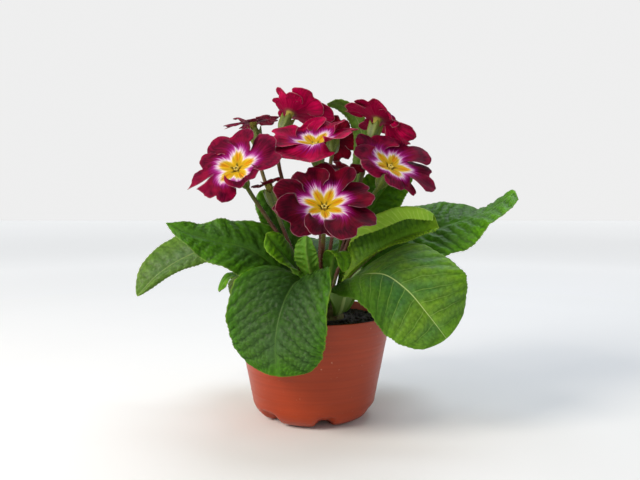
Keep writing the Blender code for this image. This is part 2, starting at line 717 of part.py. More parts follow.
def make_soil(collection, cutters):
    """The soil: a plug that fills the pot down to its channels, with a plain hole for the crown."""
    clear = POT_WALL + GAP
    skin = pot_profile()
    skin[:, 1] += CHANNEL_HEIGHT * (1.0 - smooth(*CHANNEL_FADE, skin[:, 1]))
    skin = skin[3:]
    run = unit(np.gradient(skin, axis=0))
    inner = skin + clear * np.stack([-run[:, 1], run[:, 0]], axis=-1)
    edge_radius = pot_side(SOIL_EDGE) - clear - 0.1
    drop = SOIL_MIDDLE - SOIL_EDGE
    top = [(0.0, SOIL_MIDDLE), (24.0, SOIL_MIDDLE - 0.2 * drop), (38.0, SOIL_MIDDLE - 0.6 * drop)]
    wall = [tuple(point) for point in inner[-2::-1]]
    profile = [*top, (edge_radius, SOIL_EDGE), *wall, (0.0, float(inner[0][1]))]
    soil = turned("soil", profile, SOIL_STEPS, collection, material("soil", PEAT, 0.95))
    hole = bmesh.new()
    bmesh.ops.create_cone(
        hole, cap_ends=True, segments=CROWN_STEPS, radius1=(CROWN_RADIUS + GAP) * MM,
        radius2=(CROWN_RADIUS + GAP) * MM, depth=40.0 * MM,
    )
    mesh = bpy.data.meshes.new("crown_hole")
    hole.to_mesh(mesh)
    hole.free()
    cutter = bpy.data.objects.new("crown_hole", mesh)
    cutters.objects.link(cutter)
    cutter.location = (CROWN_X * MM, CROWN_Y * MM, (CROWN_Z - CROWN_DEPTH - GAP + 20.0) * MM)
    cutter.rotation_euler = (0.0, 0.0, math.radians(180.0 / CROWN_STEPS))
    cutter.hide_render = True
    cutter.display_type = "WIRE"
    cut = soil.modifiers.new("crown_hole", "BOOLEAN")
    cut.operation = "DIFFERENCE"
    cut.object = cutter
    return soil


def make_crown(collection):
    """The crown: the short thick stem that every leaf and flower stalk stands on."""
    angles = np.linspace(90.0, 0.0, 6)
    dome = [(CROWN_RADIUS * math.cos(a), CROWN_RISE * math.sin(a)) for a in np.radians(angles)]
    profile = [(0.0, CROWN_RISE), *dome[1:], (CROWN_RADIUS - 1.0, -CROWN_DEPTH), (0.0, -CROWN_DEPTH)]
    finish = material("crown", CROWN_BROWN, 0.8)
    return turned("crown", profile, CROWN_STEPS, collection, finish, (CROWN_X, CROWN_Y, CROWN_Z))


def main():
    """Clear the scene and build the plant in its pot."""
    for old in list(bpy.data.objects):
        bpy.data.objects.remove(old, do_unlink=True)
    parts = bpy.data.collections.new("potted_primrose")
    bpy.context.scene.collection.children.link(parts)
    cutters = bpy.data.collections.new("cutters")
    bpy.context.scene.collection.children.link(cutters)
    make_pot(parts)
    make_soil(parts, cutters)
    make_crown(parts)
    for leaf in LEAVES:
        make_leaf(leaf, parts)
    for flower in FLOWERS:
        make_stalk(flower, parts)
        make_corolla(flower, parts)
        make_eye(flower, parts)


main()
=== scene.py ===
"""Looks of the potted primrose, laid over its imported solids.

The pot, the soil, and every leaf, petal ring, stalk with its calyx and ring of anthers are made again
from the tables behind the solids, with far more rows: quilted blades with sunken veins, petals with a
star, fine hairs. The crown keeps its solid and gets its material here. Lengths are in millimetres and
angles in degrees, unless the text says otherwise, and MM turns lengths to metres.
"""

import logging
import math
import random
from collections.abc import Iterable, Sequence
from dataclasses import dataclass
from enum import Enum

import bmesh
import bpy
import numpy as np
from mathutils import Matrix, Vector


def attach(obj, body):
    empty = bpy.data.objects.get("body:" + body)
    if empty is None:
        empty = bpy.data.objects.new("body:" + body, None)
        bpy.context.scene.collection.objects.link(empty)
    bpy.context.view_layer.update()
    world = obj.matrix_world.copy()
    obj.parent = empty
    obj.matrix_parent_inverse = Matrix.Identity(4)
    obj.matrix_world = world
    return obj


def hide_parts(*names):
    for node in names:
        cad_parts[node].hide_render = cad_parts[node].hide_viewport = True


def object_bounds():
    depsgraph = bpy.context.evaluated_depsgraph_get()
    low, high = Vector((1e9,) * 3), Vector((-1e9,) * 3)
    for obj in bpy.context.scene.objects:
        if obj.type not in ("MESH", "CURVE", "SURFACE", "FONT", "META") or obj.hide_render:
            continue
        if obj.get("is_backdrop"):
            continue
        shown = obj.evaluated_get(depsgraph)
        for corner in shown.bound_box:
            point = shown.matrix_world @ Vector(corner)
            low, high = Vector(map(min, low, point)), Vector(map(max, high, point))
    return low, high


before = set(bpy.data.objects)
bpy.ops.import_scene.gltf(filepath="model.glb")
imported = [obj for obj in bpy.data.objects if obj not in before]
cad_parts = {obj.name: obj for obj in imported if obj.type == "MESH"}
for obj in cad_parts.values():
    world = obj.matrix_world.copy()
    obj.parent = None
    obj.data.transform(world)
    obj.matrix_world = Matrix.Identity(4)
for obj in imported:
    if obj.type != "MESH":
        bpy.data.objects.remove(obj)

LOG = logging.getLogger("potted_primrose")
MM = 0.001
ROUND = 2.0 * math.pi
# How many cells an uneven net has before it repeats.
NET = 64
# How many steps a midrib has between two of the points that it passes.
MIDRIB_STEPS = 16
Places = np.ndarray
# What an input takes: the socket that feeds it, a value, or a colour as a hex code.
Feed = bpy.types.NodeSocket | float | tuple | str


def linear(code: str) -> tuple[float, float, float, float]:
    """Turns an sRGB hex colour to a linear one.

    Args:
        code: the colour, such as "#3f7a0c".

    Returns:
        Red, green, blue and alpha for a shader's socket.
    """
    parts = [int(code[i : i + 2], 16) / 255.0 for i in (1, 3, 5)]
    turned = [c / 12.92 if c <= 0.04045 else ((c + 0.055) / 1.055) ** 2.4 for c in parts]
    return (*turned, 1.0)


class Recipe:
    """The nodes of a material or of the world, round the shader that they feed."""

    def __init__(self, name: str, kind: str = "materials", shader: str = "Principled BSDF") -> None:
        """Makes the owner.

        Args:
            name: what it is called.
            kind: the list in bpy.data that it goes to.
            shader: the shader that Blender gives it.
        """
        self.owner = getattr(bpy.data, kind).new(name)
        self.owner.use_nodes = True
        self.tree = self.owner.node_tree
        self.shader = self.tree.nodes[shader]

    def fill(self, pairs: Iterable[tuple[bpy.types.NodeSocket, Feed]]) -> None:
        """Links inputs or sets them.

        Args:
            pairs: each input with what it takes.
        """
        for socket, value in pairs:
            if isinstance(value, bpy.types.NodeSocket):
                self.tree.links.new(value, socket)
            else:
                socket.default_value = linear(value) if isinstance(value, str) else value

    def add(
        self, kind: str, *given: Feed, take: str = "", stops: tuple = (), **more: Feed
    ) -> bpy.types.NodeSocket:
        """Adds a node with its settings and links.

        Args:
            kind: Blender's name for the node, after "ShaderNode".
            given: what goes to the inputs that the node shows, in their order.
            take: the output that is wanted, if not the first one shown.
            stops: a ramp's pairs of place and colour, a hex code or a grey from 0 to 1.
            more: the node's own properties, and what goes to inputs by name.

        Returns:
            The output.
        """
        node = self.tree.nodes.new(f"ShaderNode{kind}")
        for key in [key for key in more if key not in node.inputs]:
            setattr(node, key, more.pop(key))
        self.fill(zip([socket for socket in node.inputs if socket.enabled], given))
        self.fill((node.inputs[key], value) for key, value in more.items())
        if stops:
            elements = node.color_ramp.elements
            while len(elements) < len(stops):
                elements.new(1.0)
            for element, (place, colour) in zip(elements, stops):
                element.position = place
                element.color = linear(colour) if isinstance(colour, str) else (*[colour] * 3, 1.0)
        return node.outputs[take] if take else next(socket for socket in node.outputs if socket.enabled)

    def dress(self, **values: Feed) -> bpy.types.ID:
        """Fills the shader, whose inputs have _ for each space here, and returns its owner."""
        self.fill((self.shader.inputs[key.replace("_", " ")], value) for key, value in values.items())
        return self.owner


def smooth(low: float, high: float, x: Places) -> Places:
    """A smooth step that rises from 0 at low to 1 at high."""
    t = np.clip((np.asarray(x, float) - low) / (high - low), 0.0, 1.0)
    return t * t * (3.0 - 2.0 * t)


def bell(middle: float, width: float, x: Places) -> Places:
    """A bump of height 1 round the middle."""
    return np.exp(-(((x - middle) / width) ** 2))


def unit(vectors: Sequence | Places) -> Places:
    """The same vectors at length 1."""
    vectors = np.asarray(vectors, float)
    return vectors / np.maximum(np.linalg.norm(vectors, axis=-1, keepdims=True), 1e-12)


def circle(angle: Places | float, first: Places, second: Places) -> Places:
    """Directions at these angles in the plane of two directions."""
    return np.cos(angle) * first + np.sin(angle) * second


def along(values: tuple, t: Places) -> Places:
    """Values given evenly along a leaf, read at t from 0 to 1."""
    count = max(len(values), 2)
    return np.interp(t, np.linspace(0.0, 1.0, count), np.resize(values, count))


def cells(x: Places, y: Places, seed: int) -> Places:
    """How deep a place lies inside its cell of an uneven net.

    Args:
        x: places across the net, in cell widths.
        y: places along the net, in cell lengths.
        seed: which net.

    Returns:
        0 on the net's lines, rising to about 1 in the middle of a cell.
    """
    seats = np.random.default_rng(seed).uniform(0.15, 0.85, (NET, NET, 2))
    column = np.floor(x).astype(int)
    row = np.floor(y).astype(int)
    near = np.full(np.shape(x), 9.0)
    second = near.copy()
    for i in (-1, 0, 1):
        for j in (-1, 0, 1):
            seat = seats[(column + i) % NET, (row + j) % NET]
            away = np.hypot(column + i + seat[..., 0] - x, row + j + seat[..., 1] - y)
            second = np.where(away < near, near, np.minimum(second, away))
            near = np.minimum(near, away)
    return np.clip(second - near, 0.0, 1.0)


def catmull_rom(points: Sequence | Places, steps: int) -> Places:
    """Draws a smooth curve that passes every given point.

    Args:
        points: the points, one row each.
        steps: how many steps each span is cut into.

    Returns:
        The curve's points.
    """
    p = np.array(points, float)
    p = np.vstack([2 * p[0] - p[1], p, 2 * p[-1] - p[-2]])
    u = np.linspace(0.0, 1.0, steps, endpoint=False)[:, None]
    spans = []
    for a, b, c, d in zip(p, p[1:], p[2:], p[3:]):
        bend = 2 * a - 5 * b + 4 * c - d
        spans.append(0.5 * (2 * b + (c - a) * u + bend * u**2 + (3 * b - 3 * c + d - a) * u**3))
    return np.vstack(spans + [p[-2:-1]])


def quads(low: np.ndarray, right: np.ndarray, high: np.ndarray, left: np.ndarray) -> np.ndarray:
    """Faces from the point numbers at their four corners."""
    return np.stack([low, right, high, left], axis=-1).reshape(-1, 4)


def grid_faces(rows: int, columns: int) -> np.ndarray:
    """Quads of a grid of points that are numbered row by row."""
    index = np.arange(rows * columns).reshape(rows, columns)
    return quads(index[:-1, :-1], index[:-1, 1:], index[1:, 1:], index[1:, :-1])


def tube(rings: Places) -> tuple[Places, list[np.ndarray]]:
    """Closes a skin over rings of points, with a cap on both ends.

    Args:
        rings: rings by points by 3.

    Returns:
        The points and the faces.
    """
    count, sides = rings.shape[:2]
    index = np.arange(count * sides).reshape(count, sides)
    right = np.roll(index, -1, axis=1)
    skin = quads(index[:-1], right[:-1], right[1:], index[1:])
    foot = np.full(sides, count * sides)
    ends = ((foot, right[0], index[0]), (foot + 1, index[-1], right[-1]))
    caps = [np.stack(end, axis=-1) for end in ends]
    return np.concatenate([rings.reshape(-1, 3), rings[[0, -1]].mean(axis=1)]), [skin, *caps]


def sheet_parts(
    front: Places, thickness: Places, open_rows: int = 0
) -> tuple[Places, np.ndarray, np.ndarray]:
    """Works out a closed thin sheet from the grid of its front face.

    Args:
        front: the grid's points, rows by columns by 3.
        thickness: how thick the sheet is at each of them.
        open_rows: how many of the first rows share their side edges with a neighbour.

    Returns:
        The points of the front and then the back, the faces, and each face's material number, which is 1
        on the back.
    """
    rows, columns = front.shape[:2]
    normal = unit(np.cross(np.gradient(front, axis=1), np.gradient(front, axis=0)))
    back = front - normal * thickness[..., None]
    count = rows * columns
    index = np.arange(count).reshape(rows, columns)
    turns = [index[-1, :], index[open_rows:, 0], index[open_rows:, -1][::-1], index[0, ::-1]]
    rim = [quads(line[:-1], line[1:], line[1:] + count, line[:-1] + count) for line in turns]
    face = grid_faces(rows, columns)
    faces = np.concatenate([face, face[:, ::-1] + count, *rim])
    numbers = np.zeros(len(faces), np.int32)
    numbers[len(face) : 2 * len(face)] = 1
    return np.concatenate([front, back]).reshape(-1, 3), faces, numbers


def join_backs(left: Places, right: Places, shape: tuple[int, int], rows: int) -> None:
    """Brings the backs of two sheets together along the side edge that their fronts share.

    Args:
        left: the points of the sheet that ends at the edge.
        right: the points of the sheet that starts there, or the same sheet again if it runs round.
        shape: the rows and columns of each sheet's grid.
        rows: how many of the first rows share the edge.
    """
    first = shape[0] * shape[1] + shape[1] * np.arange(rows)
    last = first + shape[1] - 1
    middle = (left[last] + right[first]) / 2.0
    left[last] = middle
    right[first] = middle


def cones(roots: Places, ways: Places, length: Places, radius: float) -> tuple[Places, np.ndarray]:
    """Thin three-sided hairs.

    Args:
        roots: where each hair stands.
        ways: the direction of each.
        length: how long each is.
        radius: how thick they are at the root.

    Returns:
        Their points and their faces.
    """
    ways = unit(ways)
    side = unit(np.cross(ways, ways[:, [1, 2, 0]] + 0.3))
    other = np.cross(ways, side)
    ring = [roots + radius * (math.cos(a) * side + math.sin(a) * other) for a in (0.0, 2.1, 4.2)]
    points = np.stack([*ring, roots + ways * length[:, None]], axis=1).reshape(-1, 3)
    turns = np.array([(0, 1, 3), (1, 2, 3), (2, 0, 3), (0, 2, 1)])[:, None]
    return points, (turns + 4 * np.arange(len(roots))[:, None]).reshape(-1, 3)


def put(name: str, data: bpy.types.ID) -> bpy.types.Object:
    """Puts a mesh, light or camera in the scene under this name."""
    made = bpy.data.objects.new(name, data)
    bpy.context.scene.collection.objects.link(made)
    return made


def to_mesh(name: str, points: Places, faces: list[np.ndarray]) -> bpy.types.Mesh:
    """Makes a smooth-shaded mesh, in metres.

    Args:
        name: the mesh's name.
        points: places in millimetres, one row each.
        faces: lists of point numbers, one row for each face.

    Returns:
        The mesh.
    """
    made = bpy.data.meshes.new(name)
    made.from_pydata((points * MM).tolist(), [], [face for part in faces for face in part.tolist()])
    made.polygons.foreach_set("use_smooth", np.ones(len(made.polygons), bool))
    return made


@dataclass
class Piece:
    """A visible piece that stands for one solid, with what its materials read at each point.

    numbers gives each face its material, slot is not used, and sheet holds the two coordinates of the UV
    map.
    """

    name: str
    node: str
    slot: str
    points: Places
    faces: list
    materials: list
    numbers: np.ndarray | None = None
    facts: dict | None = None
    sheet: tuple | None = None

    def place(self) -> None:
        """Builds the mesh and puts it in place of its solid."""
        mesh = to_mesh(self.name, self.points, self.faces)
        if self.numbers is not None:
            mesh.polygons.foreach_set("material_index", self.numbers)
        for key, values in (self.facts or {}).items():
            layer = mesh.attributes.new(key, "FLOAT", "POINT")
            layer.data.foreach_set("value", np.asarray(values, np.float32).ravel())
        if self.sheet:
            corner = np.empty(len(mesh.loops), int)
            mesh.loops.foreach_get("vertex_index", corner)
            both = np.stack(self.sheet, axis=-1)[corner]
            mesh.uv_layers.new(name="sheet").data.foreach_set("uv", both.astype(np.float32).ravel())
        for material in self.materials:
            mesh.materials.append(material)
        piece = put(self.name, mesh)
        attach(piece, "root")
        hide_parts(self.node)
        LOG.info("%s: %d faces", self.name, len(mesh.polygons))


@dataclass(frozen=True)
class LeafTissue:
    """Primrose leaf: living tissue, grown quilted between sunken veins.

    A thin waxy skin over wet green cells gives broad soft highlights, light that passes through a little,
    and paler veins; its bluish patches are a painted reflection of the sky. threads and midline say how much
    the veins and the midrib show.
    """

    name: str
    body: str
    dark: str
    rim: str
    # Bluish patches: painted reflection of the sky on the waxy skin.
    cool: str
    vein: str
    midrib: str
    edge: str
    threads: float
    midline: float
    under: str = "#6f8a4a"
    under_vein: str = "#8fa05c"
    roughness: float = 0.42
    ior: float = 1.42

    def front(self) -> bpy.types.Material:
        """The upper skin: mottled green with painted shade in the sunken net of veins and near the stalk on
        some blades, bluish patches of painted sky reflection, and brighter towards the rim.

        Returns:
            The material.
        """
        mix = Recipe(f"leaf_tissue_{self.name}")
        place = mix.add("TexCoord", take="Object")
        edge, rib, row, relief, dusk = (
            mix.add("Attribute", take="Fac", attribute_name=name)
            for name in ("edge", "rib", "row", "relief", "dusk")
        )
        # Patches about 20 mm across, and mottles about 2 mm across.
        patch = mix.add("TexNoise", place, Scale=50.0, Detail=3.0)
        mottle = mix.add("TexNoise", place, Scale=480.0, Detail=3.0)
        # The thread of a side vein, about 0.4 mm wide, runs where the row number is whole.
        part = mix.add("Math", row, 0.5, operation="PINGPONG")
        thread = mix.add("MapRange", part, 0.012, 0.045, self.threads, 0.0)
        inland = mix.add("MapRange", edge, 2.0, 12.0)
        brink = mix.add("MapRange", edge, 1.0, 11.0, 0.85, 0.0, interpolation_type="SMOOTHSTEP")
        tone = self.body
        for blend, amount, colour in (
            # Bluish-green patches about 20 mm across: painted reflection of the sky on the waxy skin.
            ("MIX", mix.add("ValToRGB", patch, stops=((0.38, 0.0), (0.66, 1.0))), self.cool),
            ("MIX", brink, self.rim),
            # Painted shade: the half of a blade near the stalk goes to the dark green where it lies out of
            # the light.
            ("MIX", dusk, self.dark),
            # Painted shade: the sunken veins and the net between the quilts go to the dark green.
            ("MIX", mix.add("ValToRGB", relief, stops=((0.05, 0.75), (0.6, 0.0))), self.dark),
            ("MULTIPLY", 0.55, mix.add("ValToRGB", mottle, stops=((0.3, "#9c9c9c"), (0.7, "#ffffff")))),
            ("MIX", mix.add("Math", thread, inland, operation="MULTIPLY"), self.vein),
            ("MIX", mix.add("MapRange", rib, 0.5, 1.2, self.midline, 0.0), self.midrib),
            ("MIX", mix.add("MapRange", edge, 0.25, 0.9, 0.4, 0.0), self.edge),
        ):
            tone = mix.add("Mix", amount, tone, colour, data_type="RGBA", blend_type=blend)
        # Tiny blisters about 1 mm across stand between the finest veins.
        net = mix.add("TexVoronoi", place, feature="DISTANCE_TO_EDGE", Scale=850.0)
        low, high = self.roughness - 0.06, self.roughness + 0.12
        return mix.dress(
            Base_Color=tone, Normal=mix.add("Bump", Strength=0.35, Distance=0.0004, Height=net),
            Roughness=mix.add("MapRange", mottle, 0.0, 1.0, low, high), IOR=self.ior,
            Specular_IOR_Level=0.18, Subsurface_Weight=0.10, Subsurface_Radius=(0.6, 1.0, 0.2),
            Subsurface_Scale=0.0012,
        )

    def back(self) -> bpy.types.Material:
        """The lower skin: pale, dull and downy, with veins that stand out.

        Returns:
            The material.
        """
        mix = Recipe(f"leaf_tissue_{self.name}_under")
        place = mix.add("TexCoord", take="Object")
        relief, rib = (
            mix.add("Attribute", take="Fac", attribute_name=name) for name in ("relief", "rib")
        )
        # Patches about 11 mm across. The down is too fine to show, so it is drawn about 0.7 mm apart.
        tone = self.under
        for amount, colour in (
            (mix.add("TexNoise", place, Scale=90.0, Detail=4.0), self.body),
            (mix.add("ValToRGB", relief, stops=((0.05, 0.55), (0.4, 0.0))), self.under_vein),
            (mix.add("MapRange", rib, 0.8, 1.8, 0.9, 0.0), self.midrib),
        ):
            tone = mix.add("Mix", amount, tone, colour, data_type="RGBA")
        down = mix.add("TexNoise", place, Scale=1500.0, Detail=2.0)
        return mix.dress(
            Base_Color=tone, Normal=mix.add("Bump", Strength=0.3, Distance=0.0003, Height=down),
            Roughness=0.62, IOR=self.ior, Subsurface_Weight=0.10, Subsurface_Scale=0.0012,
        )


class LeafTint(Enum):
    """The greens of the leaves, from the oldest to the youngest and one that shows its lower side."""

    OLD = LeafTissue(
        "old", body="#44701a", dark="#1c3c0a", rim="#407800", cool="#48683a", vein="#1e380c",
        midrib="#5b7c38", edge="#7c9428", threads=0.7, midline=0.35,
    )
    BROAD = LeafTissue(
        "broad", body="#6e962a", dark="#38660e", rim="#68981a", cool="#467840", vein="#94b058",
        midrib="#b4c87c", edge="#78983a", threads=0.36, midline=0.9,
    )
    DEEP = LeafTissue(
        "deep", body="#3c6c0a", dark="#1e4206", rim="#4a800a", cool="#3e6626", vein="#587e2a",
        midrib="#547a30", edge="#8aa050", threads=0.15, midline=0.35,
    )
    SUNLIT = LeafTissue(
        "sunlit", body="#4e880a", dark="#265208", rim="#5c9a0c", cool="#4c7a2a", vein="#6a9430",
        midrib="#64903a", edge="#8aa050", threads=0.15, midline=0.5,
    )
    YOUNG = LeafTissue(
        "young", body="#467c08", dark="#2b5a06", rim="#62960a", cool="#3f761c", vein="#648e28",
        midrib="#688e30", edge="#88a838", threads=0.25, midline=0.5, under="#58861a",
        under_vein="#7a9c34",
    )
    RUSTY = LeafTissue(
        "rusty", body="#689c1e", dark="#2e5c0a", rim="#84b020", cool="#5a8c28", vein="#84ac3c",
        midrib="#765c34", edge="#98b038", threads=0.4, midline=0.85, under="#a0cc30",
        under_vein="#b4d458",
    )
    PALE = LeafTissue(
        "pale", body="#5c7c34", dark="#40601e", rim="#628828", cool="#58784c", vein="#7c9650",
        midrib="#8a9e5c", edge="#909e50", threads=0.2, midline=0.6, under="#6c8440", roughness=0.36,
    )


@dataclass(frozen=True)
class PetalTissue:
    """Primrose petal: a thin velvet of tiny domed cells, grown in one piece with its tube.

    The domes swallow light head on and catch it at a grazing angle, so the colour is deep with a soft
    sheen. Each petal has a yellow arm with an orange middle, a pale halo that breaks up into streaks
    along its veins, and a thin bleached margin.
    """

    name: str
    main: str
    deep: str
    bright: str
    back: str
    patches: float = 0.7
    bleach: str = "#e2b4b8"
    lace: float = 0.28

    def velvet(self, mix: Recipe, **values: Feed) -> bpy.types.Material:
        """Dresses the shader with these values and with what both faces share."""
        same = {"IOR": 1.40, "Specular_IOR_Level": 0.08, "Sheen_Weight": 0.03, "Sheen_Tint": "#e06080"}
        return mix.dress(**same, **values)

    def front(self) -> bpy.types.Material:
        """The upper face with its star, halo, veins and pale margin.

        Returns:
            The material.
        """
        mix = Recipe(f"petal_tissue_{self.name}")
        sheet = mix.add("UVMap", uv_map="sheet")
        place = mix.add("TexCoord", take="Object")
        out, side, edge = (
            mix.add("Attribute", take="Fac", attribute_name=name) for name in ("out", "side", "edge")
        )
        # Streaks along veins that fan out about 1.2 mm apart, and dark veins about 0.7 mm apart.
        streak, veins = (
            mix.add("TexNoise", mix.add("Mapping", sheet, Scale=scale), Scale=1.0, Detail=detail)
            for scale, detail in (((26.0, 1.6, 1.0), 3.0), ((44.0, 2.4, 1.0), 2.0))
        )
        bend = mix.add("Math", side, 1.5, operation="POWER")
        inward = mix.add("Math", bend, 0.20, out, operation="MULTIPLY_ADD")
        jitter = mix.add("MapRange", streak, 0.3, 0.7, -0.055, 0.055, clamp=False)
        reach = mix.add("MapRange", out, 0.18, 0.5, 0.15, 1.6)
        fray = mix.add("Math", jitter, reach, operation="MULTIPLY")
        ring = mix.add("Math", inward, fray, operation="ADD")
        # The ramp darkens to olive at the mouth and down the tube: painted shade in the tube.
        star = (
            (0.00, "#4a4410"), (0.05, "#86741a"), (0.10, "#cfa41c"), (0.27, "#dcae18"), (0.32, "#e2c456"),
            (0.365, "#eee0dc"), (0.415, "#d8a4d0"), (0.475, "#a82e88"), (0.55, "#820456"),
            (0.66, self.main), (0.87, self.deep), (1.00, self.main),
        )
        near = mix.add("MapRange", side, 0.12, 0.36, 1.0, 0.0)
        low = mix.add("MapRange", out, 0.08, 0.14)
        high = mix.add("MapRange", out, 0.28, 0.37, 0.75, 0.0)
        # Brighter patches about 9 mm across, and gaps in the pale margin about 6 mm across.
        patch = mix.add("TexNoise", place, Scale=110.0, Detail=3.0)
        glow = mix.add("ValToRGB", patch, stops=((0.46, 0.0), (0.70, self.patches)))
        outer = mix.add("MapRange", ring, 0.55, 0.75)
        margin = mix.add("MapRange", edge, 0.15, 0.6, 1.0, 0.0)
        broken = mix.add("TexNoise", place, Scale=170.0, Detail=2.0)
        kept = mix.add("MapRange", broken, 0.42, 0.58, 0.1, self.lace)
        arm, lift, lace = (
            mix.add("Math", first, second, operation="MULTIPLY")
            for first, second in (
                (mix.add("Math", near, low, operation="MULTIPLY"), high), (glow, outer), (margin, kept)
            )
        )
        tone = mix.add("ValToRGB", ring, stops=star)
        for blend, amount, colour in (
            ("MIX", arm, "#dc8a08"),
            ("MULTIPLY", 0.6, mix.add("ValToRGB", veins, stops=((0.40, "#8a8a8a"), (0.60, "#ffffff")))),
            ("MIX", lift, self.bright),
            ("MIX", lace, self.bleach),
        ):
            tone = mix.add("Mix", amount, tone, colour, data_type="RGBA", blend_type=blend)
        bump = mix.add("Bump", Strength=0.5, Distance=0.0003, Height=veins)
        return self.velvet(mix, Base_Color=tone, Normal=bump, Roughness=0.62, Sheen_Roughness=0.45)

    def rear(self) -> bpy.types.Material:
        """The lower face: the same red, duller and paler, with veins.

        Returns:
            The material.
        """
        mix = Recipe(f"petal_tissue_{self.name}_under")
        out, edge = (mix.add("Attribute", take="Fac", attribute_name=name) for name in ("out", "edge"))
        # Veins about 1 mm apart.
        fan = mix.add("Mapping", mix.add("UVMap", uv_map="sheet"), Scale=(30.0, 1.8, 1.0))
        streak = mix.add("TexNoise", fan, Scale=1.0, Detail=3.0)
        rise = (
            (0.0, "#a8a04a"), (0.05, "#8a4444"), (0.14, self.back), (0.8, self.bright), (1.0, self.back)
        )
        tone = mix.add("ValToRGB", out, stops=rise)
        for blend, amount, colour in (
            ("MULTIPLY", 0.6, mix.add("ValToRGB", streak, stops=((0.38, "#909090"), (0.62, "#ffffff")))),
            ("MIX", mix.add("MapRange", edge, 0.15, 0.6, self.lace, 0.0), self.bleach),
        ):
            tone = mix.add("Mix", amount, tone, colour, data_type="RGBA", blend_type=blend)
        bump = mix.add("Bump", Strength=0.4, Distance=0.0003, Height=streak)
        return self.velvet(mix, Base_Color=tone, Normal=bump, Roughness=0.6)


class PetalTint(Enum):
    """The reds of the flowers."""

    BURGUNDY = PetalTissue(
        "burgundy", "#58001e", "#3a0012", bright="#880022", back="#56001a", patches=0.4
    )
    WINE = PetalTissue("wine", "#70022e", "#4e0020", bright="#960234", back="#6a0030")
    CRIMSON = PetalTissue("crimson", "#960036", "#6e0026", bright="#bc0048", back="#a0003c")


@dataclass(frozen=True)
class StalkTissue:
    """Flower stalk and calyx: juicy green tissue under soft down, flushed red towards the crown."""

    calyx: str = "#67752a"
    # Painted shade for the grooves of the calyx.
    calyx_dark: str = "#42521a"
    green: str = "#5e6c2c"
    flush: str = "#643c2a"

    def skin(self) -> bpy.types.Material:
        """The skin: red-brown low down, yellow-green at the calyx, with painted shade in the grooves between
        its ribs.

        Returns:
            The material.
        """
        mix = Recipe("stalk_tissue")
        place = mix.add("TexCoord", take="Object")
        rise, groove = (
            mix.add("Attribute", take="Fac", attribute_name=name) for name in ("rise", "groove")
        )
        # Patches about 7 mm long. The down on the skin is too fine to show, so it is drawn about 0.6 mm
        # apart.
        patch = mix.add("TexNoise", place, Scale=140.0, Detail=3.0)
        shift = mix.add("MapRange", patch, 0.3, 0.7, -0.12, 0.12)
        climb = (
            (0.0, self.green), (0.15, self.flush), (0.55, self.flush), (0.78, self.green),
            (0.92, self.calyx),
        )
        tone = mix.add("ValToRGB", mix.add("Math", rise, shift, operation="ADD"), stops=climb)
        down = mix.add("TexNoise", place, Scale=1600.0, Detail=2.0)
        # Painted shade in the calyx's grooves between its ribs.
        return mix.dress(
            Base_Color=mix.add("Mix", groove, tone, self.calyx_dark, data_type="RGBA"),
            Normal=mix.add("Bump", Strength=0.3, Distance=0.0002, Height=down), Roughness=0.5, IOR=1.42,
            Subsurface_Weight=0.08, Subsurface_Scale=0.001,
        )

    def down(self) -> bpy.types.Material:
        """The down: colourless hairs that look white against the light.

        Returns:
            The material.
        """
        mix = Recipe("plant_down")
        # Hairs change shade every 3 mm or so.
        tone = mix.add("TexNoise", mix.add("TexCoord", take="Object"), Scale=300.0)
        shade = mix.add("ValToRGB", tone, stops=((0.3, "#b8bc98"), (0.7, "#dcdec8")))
        return mix.dress(Base_Color=shade, Roughness=0.5, IOR=1.50)


@dataclass(frozen=True)
class Pollen:
    """Anthers: dry sacs covered in pollen grains, dull and powdery."""

    pale: str = "#e8d870"
    deep: str = "#c09a20"
    # Painted shade inside the hollow mouth.
    mouth: str = "#3a3010"

    def grains(self) -> bpy.types.Material:
        """Yellow powder over darker sacs, and painted shade in the hollow mouth of the tube.

        Returns:
            The material.
        """
        mix = Recipe("pollen_powder")
        # Pollen is too fine to show, so its clumps are drawn about 0.4 mm across.
        clump = mix.add("TexNoise", mix.add("TexCoord", take="Object"), Scale=2400.0, Detail=2.0)
        tone = mix.add("ValToRGB", clump, stops=((0.35, self.deep), (0.6, self.pale)))
        # Painted shade: the rings that run down into the hollow go to the dark mouth colour.
        deep = mix.add("Attribute", take="Fac", attribute_name="deep")
        return mix.dress(
            Base_Color=mix.add("Mix", deep, tone, self.mouth, data_type="RGBA"), Roughness=0.85, IOR=1.50,
            Normal=mix.add("Bump", Strength=0.6, Distance=0.0002, Height=clump),
        )


